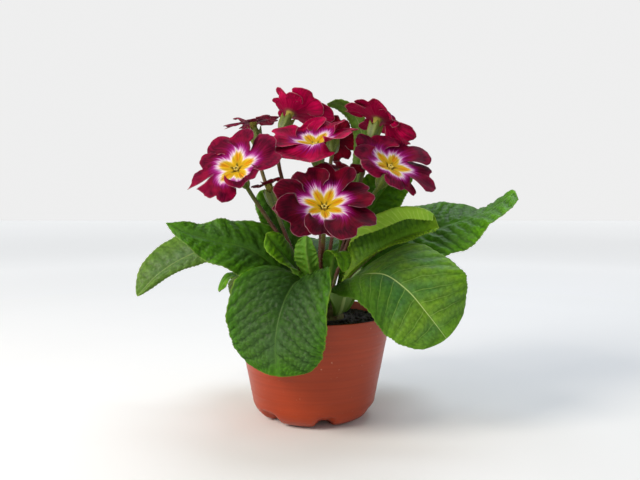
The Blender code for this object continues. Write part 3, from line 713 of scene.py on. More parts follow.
@dataclass(frozen=True)
class PotPlastic:
    """Nursery pot: polypropylene, injection moulded in a terracotta colour.

    The mould leaves faint level rings and a skin between satin and gloss. Handling scuffs it pale.
    """

    body: str = "#ae3e12"
    shade: str = "#92300e"
    scuff: str = "#c88a6c"

    def skin(self) -> bpy.types.Material:
        """Terracotta plastic with level moulding rings, cloudy pigment and a few scuffs.

        Returns:
            The material.
        """
        mix = Recipe("polypropylene_moulded_terracotta")
        place = mix.add("TexCoord", take="Object")
        # Rings from the mould's turning, about 1.5 mm apart, drawn coarse enough to show. The pigment
        # is cloudy over about 36 mm, and the scuffs are about 2 mm across.
        flat = mix.add("Mapping", place, Scale=(6.0, 6.0, 650.0))
        rings = mix.add("TexNoise", flat, Scale=1.0, Detail=2.0)
        speck = mix.add("TexNoise", place, Scale=420.0, Detail=4.0)
        tone = self.body
        for blend, amount, colour in (
            ("MIX", mix.add("TexNoise", place, Scale=28.0, Detail=3.0), self.shade),
            ("MULTIPLY", 0.5, mix.add("ValToRGB", rings, stops=((0.3, "#d8d8d8"), (0.7, "#ffffff")))),
            ("MIX", mix.add("ValToRGB", speck, stops=((0.70, 0.0), (0.76, 0.7))), self.scuff),
        ):
            tone = mix.add("Mix", amount, tone, colour, data_type="RGBA", blend_type=blend)
        return mix.dress(
            Base_Color=tone, Normal=mix.add("Bump", Strength=0.10, Distance=0.0003, Height=rings),
            Roughness=mix.add("MapRange", speck, 0.0, 1.0, 0.30, 0.46), IOR=1.49, Specular_IOR_Level=0.36,
        )


@dataclass(frozen=True)
class Peat:
    """Potting soil: wet black peat with crumbs of bark, dull but for a damp glint."""

    dark: str = "#15110e"
    crumb: str = "#33271c"

    def ground(self) -> bpy.types.Material:
        """Near-black fibres and brown crumbs.

        Returns:
            The material.
        """
        mix = Recipe("peat_damp")
        # Crumbs 1 to 3 mm across.
        crumb = mix.add("TexNoise", mix.add("TexCoord", take="Object"), Scale=420.0, Detail=5.0)
        return mix.dress(
            Base_Color=mix.add("ValToRGB", crumb, stops=((0.42, self.dark), (0.68, self.crumb))),
            Normal=mix.add("Bump", Strength=0.9, Distance=0.001, Height=crumb),
            Roughness=mix.add("MapRange", crumb, 0.0, 1.0, 0.55, 0.95), IOR=1.45,
        )


@dataclass(frozen=True)
class CrownTissue:
    """Crown: a short woody stem wrapped in the feet of old leaves, fibrous and dull."""

    brown: str = "#5a4426"
    green: str = "#6a6e34"

    def bark(self) -> bpy.types.Material:
        """Brown fibres that turn green where young leaves leave.

        Returns:
            The material.
        """
        mix = Recipe("crown_fibres")
        # Fibres about 1.5 mm wide that run upright.
        drawn = mix.add("Mapping", mix.add("TexCoord", take="Object"), Scale=(700.0, 700.0, 90.0))
        fibre = mix.add("TexNoise", drawn, Scale=1.0, Detail=3.0)
        return mix.dress(
            Base_Color=mix.add("ValToRGB", fibre, stops=((0.35, self.brown), (0.65, self.green))),
            Normal=mix.add("Bump", Strength=0.7, Distance=0.0006, Height=fibre), Roughness=0.8,
        )


@dataclass(frozen=True)
class StudioPaper:
    """Studio floor: matt white paper, with reach as its half width in metres."""

    white: str = "#f4f4f2"
    grey: str = "#ececea"
    reach: float = 3.0

    def face(self) -> bpy.types.Material:
        """Paper with a faint cloudiness.

        Returns:
            The material.
        """
        mix = Recipe("studio_paper")
        place = mix.add("TexCoord", take="Object")
        # Clouds about 330 mm across.
        cloud = mix.add("TexNoise", place, Scale=3.0, Detail=2.0)
        # The far paper glows more with distance, which evens it out to the white of the walls.
        away = mix.add("VectorMath", place, take="Value", operation="LENGTH")
        share = mix.add("Math", away, self.reach, operation="DIVIDE")
        glow = ((0.10, 0.0), (0.20, 0.10), (0.33, 0.32), (0.72, 0.47), (1.0, 0.52))
        return mix.dress(
            Base_Color=mix.add("Mix", cloud, self.white, self.grey, data_type="RGBA"), Roughness=0.9,
            Emission_Strength=mix.add("ValToRGB", share, stops=glow), Emission_Color="#ffffff",
        )


class Skins:
    """Every material, made once and shared by the pieces that it dresses."""

    def __init__(self) -> None:
        """Makes the materials."""
        self.leaf = {tint: [tint.value.front(), tint.value.back()] for tint in LeafTint}
        self.petal = {tint: [tint.value.front(), tint.value.rear()] for tint in PetalTint}
        self.stalk = [StalkTissue().skin(), StalkTissue().down()]
        self.pollen = [Pollen().grains()]
        self.plastic = [PotPlastic().skin()]
        self.peat = [Peat().ground()]
        self.bark = CrownTissue().bark()
        self.paper = StudioPaper().face()


@dataclass(frozen=True)
class Crown:
    """The short stem in the soil that every leaf and flower stalk stands on."""

    x: float = 4.0
    y: float = -2.0
    z: float = 61.0
    radius: float = 16.0
    rise: float = 12.0
    foot: float = 9.3

    def seat(self, azimuth: float, latitude: float, clearance: float) -> tuple[Places, Places]:
        """Finds a place on the dome.

        Args:
            azimuth: which way from the middle.
            latitude: how high up the dome.
            clearance: how far off the dome.

        Returns:
            The place and the dome's outward direction there.
        """
        a, b = math.radians(azimuth), math.radians(latitude)
        flat = np.array([math.cos(a), math.sin(a), 0.0])
        top = np.array([0.0, 0.0, 1.0])
        point = np.array([self.x, self.y, self.z])
        point = point + self.radius * math.cos(b) * flat + self.rise * math.sin(b) * top
        out = unit(math.cos(b) / self.radius * flat + math.sin(b) / self.rise * top)
        return point + clearance * out, out

    def dress(self, skins: Skins) -> None:
        """Gives the crown's solid its bark."""
        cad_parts["crown"].data.materials[0] = skins.bark


CROWN = Crown()


class Spine:
    """A smooth curve with a frame at each point: along it, and up out of the leaf."""

    def __init__(self, points: list, up: Places) -> None:
        """Draws the curve.

        Args:
            points: places that it passes.
            up: a direction out of the leaf's upper face at the start.
        """
        points = catmull_rom(points, MIDRIB_STEPS)
        steps = np.linalg.norm(np.diff(points, axis=0), axis=1)
        self.distance = np.concatenate([[0.0], np.cumsum(steps)])
        self.length = float(self.distance[-1])
        tangents = unit(np.gradient(points, self.distance, axis=0))
        normals = []
        for tangent in tangents:
            up = unit(up - tangent * (up @ tangent))
            normals.append(up)
        self.tables = (points, tangents, np.array(normals))

    def at(self, s: Places) -> tuple[Places, Places, Places]:
        """Reads the frame.

        Args:
            s: distances along the curve; past its ends it runs straight on.

        Returns:
            Points, tangents and normals.
        """
        inside = np.clip(s, 0.0, self.length)
        point, tangent, normal = (
            np.stack([np.interp(inside, self.distance, column) for column in table.T], axis=-1)
            for table in self.tables
        )
        tangent = unit(tangent)
        return point + (s - inside)[..., None] * tangent, tangent, unit(normal)


@dataclass(frozen=True)
class Leaf:
    """One leaf: its seat on the crown, the points its midrib passes, and how its blade lies.

    roll, fold, curl_left and curl_right are read along the leaf from stalk to tip. lean widens the
    blade's left side and narrows its right by that share. dusk says, from the right margin to the
    left one, how far the half near the stalk goes to the leaf's dark green, as painted shade where the
    blade lies out of the light. flap is how much wider the right side is than the place it lies in, so that
    its margin folds over. seated is how far the stalk runs straight out of the crown, and buried about how
    long it is before the first of its points. groove is how deep the midrib lies in the upper face, and
    ridges how far it and the side veins stand out below.
    """

    name: str
    azimuth: float
    latitude: float
    points: tuple
    width: float
    tint: LeafTint
    lean: float = 0.0
    roll: tuple = (0.0,)
    fold: tuple = (35.0, 12.0)
    curl_left: tuple = (10.0, 35.0)
    curl_right: tuple = (10.0, 35.0)
    widening: tuple = (0.12, 0.62)
    tip: float = 0.66
    taper: float = 0.5
    ruffle: float = 1.5
    waves: float = 2.5
    rows: int = 13
    spacing: float = 1.1
    vein_gap: float = 8.0
    pucker: float = 1.0
    midrib: float = 0.75
    sweep: float = 0.25
    wander: float = 1.0
    crumple: float = 0.45
    # Painted shade over the half near the stalk, read across the blade from the right margin to the left.
    dusk: tuple = (0.0,)
    flap: float = 0.0
    flap_bend: float = 2.2
    flap_turn: float = 80.0
    tooth: float = 0.22
    tooth_gap: float = 3.6
    clearance: float = 0.6
    seated: float = 5.0
    buried: float = 32.0
    half_stalk: float = 2.2
    net_mesh: tuple = (3.4, 3.0)
    vein_width: float = 1.5
    groove: float = 0.7
    ridges: tuple = (0.6, 0.25)
    blade_thickness: float = 0.5
    stalk_thickness: float = 1.75

    @property
    def seed(self) -> int:
        """A number of the leaf's own, which sets its net and waves."""
        return sum(ord(letter) for letter in self.name)

    def half_width(self, t: Places) -> Places:
        """Half the width of the blade at t along the leaf."""
        wing = self.half_stalk + (self.width - self.half_stalk) * smooth(*self.widening, t)
        past = np.clip((t - self.tip) / (1.0 - self.tip), 0.0, 1.0)
        return wing * (1.0 - past**2) ** self.taper

    def section(self, t: Places, v: Places, width: Places) -> tuple[Places, Places]:
        """Bends the blade's cross-section, and folds its far margin over.

        Args:
            t: places from stalk to tip.
            v: places from margin to margin.
            width: half the width at each of them.

        Returns:
            How far across each place lies, and how far up.
        """
        side = np.abs(v)
        fold = np.radians(along(self.fold, t))
        bend = np.radians(np.where(v > 0, along(self.curl_left, t), along(self.curl_right, t)))
        bend = np.where(np.abs(bend) < 0.01, 0.01, bend)
        reach = side * np.where(v < 0, 1.0 + self.flap * smooth(0.2, 0.5, t), 1.0)
        laid = np.minimum(reach, 1.0)
        slope = fold - bend * laid
        x = np.sign(v) * width * (np.sin(fold) - np.sin(slope)) / bend
        h = width * (np.cos(slope) - np.cos(fold)) / bend
        # The far margin folds over in a tight bend and hangs straight from there.
        over = (reach - laid) * width
        turned = np.minimum(over / self.flap_bend, math.radians(self.flap_turn))
        hang = over - turned * self.flap_bend
        away = self.flap_bend * (np.sin(slope + turned) - np.sin(slope)) + hang * np.cos(slope + turned)
        h = h - self.flap_bend * (np.cos(slope + turned) - np.cos(slope)) + hang * np.sin(slope + turned)
        return x + np.sign(v) * away, h

    def relief(
        self, t: Places, v: Places, length: float, rib: Places, edge: Places
    ) -> tuple[Places, dict[str, Places]]:
        """Quilts the blade between its veins.

        Args:
            t: places from stalk to tip.
            v: places from margin to margin.
            length: how long the leaf is.
            rib: how far each place is from the midrib.
            edge: how far it is from the margin.

        Returns:
            How far the blade stands out, and what the thickness and the material need to know.
        """
        blade = smooth(0.15, 0.4, t)
        drift = 0.16 * np.sin(9.0 * t + self.seed) + 0.10 * np.sin(5.0 * v + 23.0 * t + self.seed)
        drift = drift + 0.06 * np.sin(17.0 * np.abs(v) + 41.0 * t)
        row = (t * length - self.sweep * rib) / self.vein_gap + np.where(v < 0, 0.5, 0.0)
        row = row + self.wander * drift
        gap = np.abs(row - np.round(row))
        dome = smooth(-0.05, 0.5, gap)
        across, down = self.net_mesh
        net = cells(v * self.width / across + 90.0, t * length / down + 5.0, self.seed)
        net = np.clip(1.7 * net, 0.0, 1.0)
        clear = smooth(0.8, 4.0, rib)
        brim = 0.35 + 0.65 * smooth(0.0, 4.0, edge)
        quilt = self.pucker * blade * clear * brim * (0.85 * dome + self.crumple * net - 0.5)
        return quilt - self.groove * blade * bell(0.0, self.vein_width, rib), {
            "edge": edge, "rib": rib / (self.midrib * (1.15 - t)), "row": row,
            "relief": 1.0 - blade * (1.0 - np.sqrt(dome) * (0.35 + 0.65 * net)) * clear,
            # Painted shade over one half of the blade, fading out towards the tip.
            "dusk": along(self.dusk, 0.5 + 0.5 * v) * (1.0 - smooth(0.5, 0.95, t)),
            "t": t, "gap": gap * self.vein_gap, "blade": blade,
        }

    def surface(self, t: Places, v: Places) -> tuple[Places, dict[str, Places]]:
        """Lays out the upper face.

        Args:
            t: places from stalk to tip, 0 to 1.
            v: places from margin to margin, -1 to 1.

        Returns:
            The places, and what the thickness and the material need to know of each.
        """
        seat, out = CROWN.seat(self.azimuth, self.latitude, self.clearance)
        inward = np.array([CROWN.x, CROWN.y, seat[2] + CROWN.radius]) - seat
        spine = Spine([seat, seat + self.seated * out, *self.points], inward)
        side = np.abs(v)
        tipward = smooth(0.55, 1.0, t)
        forward = 0.45 * self.half_width(t) * (1.0 - tipward) - 3.0 * tipward
        width = self.half_width(np.clip(t + forward / spine.length, 0.0, 1.0)) * (1.0 + self.lean * v)
        edge = np.minimum((1.0 - side) * width, (1.0 - t) * spine.length)
        scallop = 0.012 * np.cos(math.pi * self.rows * t) * side**12
        fringe = self.tooth * np.cos(ROUND * t * spine.length / self.tooth_gap) * side**24
        width = width * (1.0 + scallop) + fringe * smooth(0.1, 0.3, t)
        point, tangent, normal = spine.at(t * spine.length + forward * side**1.5)
        roll = np.radians(along(self.roll, t))[..., None]
        across = np.cross(tangent, normal)
        up = circle(roll, normal, across)
        across = circle(roll, across, -normal)
        x, h = self.section(t, v, width)
        quilt, facts = self.relief(t, v, spine.length, side * width, edge)
        wave = np.sin(ROUND * self.waves * t + np.where(v < 0, 2.1, 0.0))
        h = h + facts["blade"] * self.ruffle * wave * side**2.5 + quilt
        return point + x[..., None] * across + h[..., None] * up, facts

    def thickness(self, v: Places, facts: dict[str, Places]) -> Places:
        """Works out a stout stalk, a thin blade, and ridges below its veins.

        Args:
            v: places from margin to margin.
            facts: what surface says of each.

        Returns:
            How thick the leaf is there.
        """
        near_rib = np.clip(1.0 - np.abs(v) / 0.7, 0.0, 1.0)
        t = facts["t"]
        stalk = np.clip(near_rib * (1.0 - smooth(0.0, 0.8, t)) + 1.0 - smooth(0.0, 0.2, t), 0.0, 1.0)
        below_midrib, below_veins = self.ridges
        ridge = below_midrib * bell(0.0, 1.0, facts["rib"]) + below_veins * bell(0.0, 0.5, facts["gap"])
        thin = 0.5 + 0.5 * smooth(0.0, 2.5, facts["edge"])
        return self.blade_thickness * thin + self.stalk_thickness * stalk + ridge * facts["blade"] * thin

    def build(self, skins: Skins) -> None:
        """Builds the blade with its stalk and lays it over its solid.

        Args:
            skins: the materials.
        """
        steps = np.linalg.norm(np.diff(np.array(self.points, float), axis=0), axis=1)
        rows = round((float(steps.sum()) + self.buried) / self.spacing) + 1
        columns = 2 * round(self.width / self.spacing) + 1
        t, v = np.meshgrid(np.linspace(0.0, 1.0, rows), np.linspace(-1.0, 1.0, columns), indexing="ij")
        front, facts = self.surface(t, v)
        points, faces, numbers = sheet_parts(front, self.thickness(v, facts))
        facts = {key: np.tile(facts[key].ravel(), 2) for key in ("edge", "rib", "row", "relief", "dusk")}
        Piece(
            f"blade_{self.name}", f"leaf_{self.name}", "leaf_blade", points, [faces],
            skins.leaf[self.tint], numbers, facts,
        ).place()


@dataclass(frozen=True)
class Petal:
    """How one petal differs: its turn off its even place, and its other sizes as shares of the flower's."""

    turn: float = 0.0
    reach: float = 1.0
    lift: float = 0.0
    tilt: float = 0.08
    corner: float = 0.0
    width: float = 1.3


PLAIN_PETALS = tuple(
    Petal(*shifts, width=0.96)
    for shifts in ((3, 1.02, 0.02), (-2, 0.96, -0.03), (2, 1.00, 0.03), (-2, 0.98), (3, 1.03, -0.02))
)
# How many degrees up the crown's dome the rings of leaves and of flower stalks stand.
OUTER = 30.0
INNER = 52.0
STALK_RING = 69.0
STALK_HEART = 82.0


@dataclass(frozen=True)
class Flower:
    """One flower: its stalk's seat on the crown, and its face: centre, direction, size and turn.

    cup and recurve are how far its petals rise and bend back, in shares of its radius. bow pushes the
    stalk aside. fused is the share of a petal that is joined to its neighbours, and levels gives the
    rows down the tube, over the fused part and over the free part. sides and joints are the points
    round the stalk and along it. notch, shoulder, collar and crease are shares of the radius too, and
    thickness is a petal's at its margin and what the middle has more.
    """

    name: str
    azimuth: float
    latitude: float
    centre: tuple
    facing: tuple
    radius: float
    turn: float
    tint: PetalTint
    cup: float = 0.16
    recurve: float = -0.08
    petals: tuple = PLAIN_PETALS
    bow: tuple = (0.0, 0.0, 0.0)
    mouth: float = 2.1
    foot: float = 1.5
    tube_length: float = 14.0
    calyx_foot: float = 3.0
    stalk: float = 1.2
    clearance: float = 0.3
    fused: float = 1.0 / 3.0
    levels: tuple = (6, 14, 24)
    columns: int = 29
    sides: int = 40
    joints: int = 26
    notch: float = 0.14
    shoulder: float = 0.33
    collar: float = 0.014
    crease: float = 0.022
    thickness: tuple = (0.22, 0.2)
    hairs: int = 420
    hair_length: tuple = (0.35, 0.9)
    hair_radius: float = 0.035
    hair_spread: float = 0.35

    @property
    def angle(self) -> Places:
        """Angles round the stalk and the anthers, one a row."""
        return np.linspace(0.0, ROUND, self.sides, endpoint=False)[:, None]

    def face_frame(self, turn: float) -> Places:
        """Finds the flower's own axes.

        Args:
            turn: degrees that they are turned about the way it looks.

        Returns:
            Two directions that span its face, and the one where it looks.
        """
        look = unit(self.facing)
        side = unit(np.cross([0.0, 0.0, 1.0], look) + np.array([1e-6, 0.0, 0.0]))
        up = np.cross(look, side)
        a = math.radians(turn)
        return np.array([circle(a, side, up), circle(a, up, -side), look])

    def petal_places(self, index: int, u: Places, v: Places) -> Places:
        """Lays out one petal in the flower's own axes.

        Args:
            index: which petal.
            u: below 0 down the tube to -1, and 0 to 1 out over the limb.
            v: -1 to 1 from the left edge to the right edge.

        Returns:
            The places.
        """
        petal = self.petals[index]
        draw = random.Random(self.name + str(index))
        phase = ROUND * draw.random()
        late = ROUND * draw.random()
        out = np.clip(u, 0.0, 1.0)
        free = smooth(self.fused, 0.8, out)
        outline = 1.0 - self.notch * bell(0.0, 0.18, v) - self.shoulder * np.abs(v) ** 3.5
        towards = np.clip(v * math.copysign(1.0, petal.corner), 0.0, 1.0)
        outline = outline + abs(petal.corner) * towards**4
        # Small uneven scallops along the margin.
        scallops = 0.008 * np.sin(19.0 * v + late) + 0.006 * np.sin(31.0 * v + phase)
        outline = outline + scallops * (1.0 - v**4)
        far = self.radius * (1.0 + (petal.reach * outline - 1.0) * free)
        radius = self.mouth + (far - self.mouth) * out
        half_angle = math.pi / len(self.petals)
        angle = 2.0 * half_angle * index + math.radians(petal.turn) * free
        angle = angle - v * half_angle * (1.0 + (petal.width - 1.0) * free)
        height = self.cup * out**0.8 + self.recurve * out**3
        wave = 0.06 * np.sin(3.6 * v + phase) + 0.012 * np.sin(11.0 * v + late) * out**2
        height = height + free * (petal.lift + wave * (1.0 - v**2) + petal.tilt * v)
        # A low folded collar round the mouth, and a crease along the middle of each petal.
        height = height + self.collar * bell(0.055, 0.03, out) * (0.6 + 0.4 * np.cos(math.pi * v))
        height = height - self.crease * bell(0.0, 0.07, v) * smooth(0.05, 0.3, out)
        down = np.clip(-u, 0.0, 1.0)
        radius = np.where(u < 0, self.mouth + (self.foot - self.mouth) * down, radius)
        height = np.where(u < 0, -self.tube_length * down, height * self.radius)
        return np.stack([radius * np.cos(angle), radius * np.sin(angle), height], axis=-1)

    def build_corolla(self, skins: Skins) -> None:
        """Builds the petals, fused near the middle and running down into the tube.

        Args:
            skins: the materials.
        """
        axes = self.face_frame(self.turn)
        spans = zip((-1.0, 0.0, self.fused), (0.0, self.fused, 1.0), self.levels)
        levels = np.append(np.concatenate([np.linspace(a, b, count)[:-1] for a, b, count in spans]), 1.0)
        u, v = np.meshgrid(levels, np.linspace(-1.0, 1.0, self.columns), indexing="ij")
        out = np.clip(u, 0.0, 1.0)
        joined = self.levels[0] + self.levels[1] - 1
        sheets, across, facts = [], [], {"out": [], "side": [], "edge": []}
        for index, petal in enumerate(self.petals):
            front = np.array(self.centre) + self.petal_places(index, u, v) @ axes
            half = out * self.radius * math.sin(math.pi / len(self.petals)) * petal.width
            # Where the petals are joined there is no margin near.
            beyond = 9.0 * (1.0 - smooth(0.30, 0.42, out))
            edge = np.minimum((1.0 - np.abs(v)) * half + beyond, (1.0 - out) * self.radius * petal.reach)
            thickness = self.thickness[0] + self.thickness[1] * smooth(0.0, 2.0, edge)
            sheets.append(sheet_parts(front, thickness, joined - 1))
            for key, values in (("out", out), ("side", np.abs(v)), ("edge", edge)):
                facts[key].append(np.tile(values.ravel(), 2))
            # Each petal has its own stretch of the pattern.
            across.append(np.tile((v * 0.5 + 0.5 + 1.7 * index + 3.1 * self.azimuth).ravel(), 2))
        points, faces, numbers = zip(*sheets)
        for index in range(len(points)):
            join_backs(points[index], points[index - 1], u.shape, joined)
        Piece(
            f"corolla_{self.name}", f"flower_{self.name}_petals",
            "petal_crimson" if self.tint is PetalTint.CRIMSON else "petal_burgundy",
            np.concatenate(points),
            [part + index * len(points[0]) for index, part in enumerate(faces)],
            skins.petal[self.tint], np.concatenate(numbers),
            {key: np.concatenate(values) for key, values in facts.items()},
            (np.concatenate(across), np.tile(u.ravel(), 2 * len(self.petals))),
        ).place()

    def stalk_path(self, look: Places) -> tuple[Places, Places]:
        """Draws the stalk's middle line.

        Args:
            look: where the flower looks.

        Returns:
            Points and directions from the crown to the foot of the calyx.
        """
        seat, out = CROWN.seat(self.azimuth, self.latitude, self.clearance)
        foot = np.array(self.centre) - (self.tube_length + self.calyx_foot) * look
        reach = 0.35 * np.linalg.norm(foot - seat)
        a = seat + reach * out + np.array(self.bow)
        b = foot - reach * look + np.array(self.bow)
        t = np.linspace(0.0, 1.0, self.joints)[:, None]
        points = (1 - t) ** 3 * seat + 3 * (1 - t) ** 2 * t * a + 3 * (1 - t) * t**2 * b + t**3 * foot
        ways = 3 * (1 - t) ** 2 * (a - seat) + 6 * (1 - t) * t * (b - a) + 3 * t**2 * (foot - b)
        return points, unit(ways)

    def ribbed_rings(self, profile: Places, axes: Places, rib: Places, tooth: Places) -> list[Places]:
        """Lays rings with five ribs round the flower's own axis.

        Args:
            profile: for each ring its height, radius on the ribs and between them, and tooth height.
            axes: the flower's axes.
            rib: how far each point of a ring is up a rib.
            tooth: how far it is up a tooth.

        Returns:
            The rings.
        """
        flat = circle(self.angle, axes[0], axes[1])
        return [
            np.array(self.centre) + (level + lift * tooth) * axes[2] + (dip + (peak - dip) * rib) * flat
            for level, peak, dip, lift in profile
        ]

    def build_stalk(self, skins: Skins) -> None:
        """Builds the downy stalk and the ribbed calyx that it opens into.

        Args:
            skins: the materials.
        """
        axes = self.face_frame(self.turn + 36.0)
        points, tangents = self.stalk_path(axes[2])
        side = axes[0]
        sides = []
        for tangent in tangents[::-1]:
            side = unit(side - tangent * (side @ tangent))
            sides.append(side)
        angle = self.angle
        rib = np.abs(2.0 * np.mod(5.0 * angle / ROUND, 1.0) - 1.0)
        rings = []
        shares = np.linspace(0, 1, self.joints)
        for share, point, tangent, side in zip(shares, points, tangents, sides[::-1]):
            radius = self.stalk * (1.12 - 0.12 * math.sin(math.pi * share))
            radius = radius * (1.0 + 0.03 * np.cos(4.0 * angle))
            rings.append(point + radius * circle(angle, side, np.cross(tangent, side)))
        outer = catmull_rom(((-16.0, 2.6, 2.3, 0.0), (-11.0, 4.7, 3.7, 0.0), (-6.0, 5.2, 4.3, 3.6)), 6)
        inner = catmull_rom(((-6.3, 4.6, 3.8, 3.2), (-12.0, 3.6, 3.3, 0.0), (-15.1, 2.5, 2.5, 0.0)), 3)
        rings += self.ribbed_rings(np.concatenate([outer, inner]), axes, rib**2, rib**1.3)
        rings = np.array(rings)
        skin, faces = tube(rings)
        rise = [*np.linspace(0.0, 0.8, self.joints), *np.linspace(0.88, 1.0, len(rings) - self.joints)]
        # Painted shade in the grooves between the calyx's ribs.
        groove = np.tile(0.85 * (1.0 - rib[:, 0]) ** 2, len(rings))
        groove[: self.joints * self.sides] = 0.0
        draw = np.random.default_rng(sum(ord(letter) for letter in self.name))
        ring = draw.integers(1, self.joints + len(outer) - 1, self.hairs)
        spot = draw.integers(0, self.sides, self.hairs)
        roots = rings[ring, spot] * 0.6 + rings[ring + 1, spot] * 0.4
        ways = unit(rings[ring, spot] - rings[ring].mean(axis=1))
        ways = ways + self.hair_spread * draw.normal(size=(self.hairs, 3))
        hairs, tufts = cones(roots, ways, draw.uniform(*self.hair_length, self.hairs), self.hair_radius)
        faces = [*faces, tufts + len(skin)]
        numbers = np.zeros(sum(len(part) for part in faces), np.int32)
        numbers[-len(tufts) :] = 1
        facts = {
            "rise": np.concatenate([np.repeat(rise, self.sides), [0.0, 1.0], np.ones(len(hairs))]),
            "groove": np.append(groove, np.zeros(2 + len(hairs))),
        }
        Piece(
            f"stalk_{self.name}", f"flower_{self.name}_stalk", "flower_stalk",
            np.concatenate([skin, hairs]), faces, skins.stalk, numbers, facts,
        ).place()

    def build_anthers(self, skins: Skins) -> None:
        """Builds the five plump anthers round the hollow mouth of the tube.

        Args:
            skins: the materials.
        """
        profile = (
            (-4.0, 1.0, 1.0, 0.0), (-1.5, 1.25, 1.1, 0.0), (0.0, 1.6, 1.25, 0.0), (0.8, 1.9, 1.2, 0.0),
            (1.2, 1.85, 1.1, 0.0), (1.4, 1.55, 0.95, 0.0), (1.25, 1.2, 0.75, 0.0), (0.6, 0.8, 0.6, 0.0),
            (-0.4, 0.5, 0.45, 0.0),
        )
        lobe = 0.5 + 0.5 * np.cos(5.0 * self.angle)
        rings = self.ribbed_rings(catmull_rom(profile, 2), self.face_frame(self.turn), lobe, lobe)
        points, faces = tube(np.array(rings))
        # The last rings, which run down into the hollow, are marked for painted shade.
        depth = np.repeat(np.linspace(0.0, 1.0, len(rings)), self.sides)
        Piece(
            f"anthers_{self.name}", f"flower_{self.name}_anthers", "anther", points, faces, skins.pollen,
            facts={"deep": np.append(smooth(0.72, 0.95, depth), [0.0, 1.0])},
        ).place()

    def build(self, skins: Skins) -> None:
        """Builds the whole flower with these materials."""
        self.build_stalk(skins)
        self.build_corolla(skins)
        self.build_anthers(skins)


@dataclass(frozen=True)
class Pot:
    """The nursery pot: one thin moulded skin with a rounded foot and six channels under its base.

    A channel fades over channel_sides degrees from its middle, begins over channel_start from the pot's
    axis and fades out over channel_end up the side.
    """

    rim_radius: float = 50.0
    base_radius: float = 37.3
    height: float = 66.3
    wall: float = 1.3
    corner: float = 13.0
    channels: int = 6
    channel_turn: float = -77.5
    channel_height: float = 3.8
    channel_sides: tuple = (5.0, 13.5)
    channel_start: tuple = (13.0, 20.0)
    channel_end: tuple = (3.0, 10.0)
    ring_levels: tuple = (17.0, 31.0, 49.0, 58.5)
    ring_height: float = 0.16
    ring_width: float = 0.45
    sides: int = 288

    def side(self, height: Places) -> Places:
        """The outer radius of the pot's straight side at this height."""
        return self.base_radius + (self.rim_radius - self.base_radius) * height / self.height

    def inside(self, height: Places) -> Places:
        """The inner radius of the pot's straight side at this height."""
        return self.side(height) - self.wall

    def profile(self) -> Places:
        """Draws half the outline, from the middle of the base to the rim.

        Returns:
            The radius and height of each point.
        """
        slope = math.atan2(self.rim_radius - self.base_radius, self.height)
        middle = self.side(self.corner) - self.corner / math.cos(slope)
        turn = np.linspace(-math.pi / 2.0, -slope, 15)
        bend = self.corner * np.stack([np.cos(turn), 1.0 + np.sin(turn)], axis=-1) + (middle, 0.0)
        base = np.stack([np.linspace(0.02, middle, 14)[:-1], np.zeros(13)], axis=-1)
        level = np.linspace(bend[-1, 1], self.height - 0.5, 90)[1:]
        ridge = sum(self.ring_height * bell(ring, self.ring_width, level) for ring in self.ring_levels)
        straight = np.stack([self.side(level) + ridge - self.ring_height / 2.0, level], axis=-1)
        # The rim is rounded over by a fraction of a millimetre.
        lip = (self.rim_radius, self.height) - np.array([(0.12, 0.18), (0.45, 0.0)])
        return np.concatenate([base, bend, straight, lip])

    def build(self, skins: Skins) -> None:
        """Builds the skin and lays it over its solid.

        Args:
            skins: the materials.
        """
        profile = self.profile()
        turn, radius = np.meshgrid(np.linspace(0.0, 360.0, self.sides + 1), profile[:, 0])
        height = profile[:, 1][:, None] + np.zeros_like(turn)
        step = 360.0 / self.channels
        from_channel = np.abs((turn + step / 2.0) % step - step / 2.0)
        groove = (1.0 - smooth(*self.channel_sides, from_channel)) * smooth(*self.channel_start, radius)
        height = height + self.channel_height * groove * (1.0 - smooth(*self.channel_end, height))
        angle = np.radians(turn + self.channel_turn)
        skin = np.stack([radius * np.cos(angle), radius * np.sin(angle), height], axis=-1)
        places, faces, _ = sheet_parts(skin, np.full(turn.shape, self.wall), len(profile) - 1)
        join_backs(places, places, turn.shape, len(profile))
        Piece("pot_skin", "pot", "pot_plastic", places, [faces], skins.plastic).place()


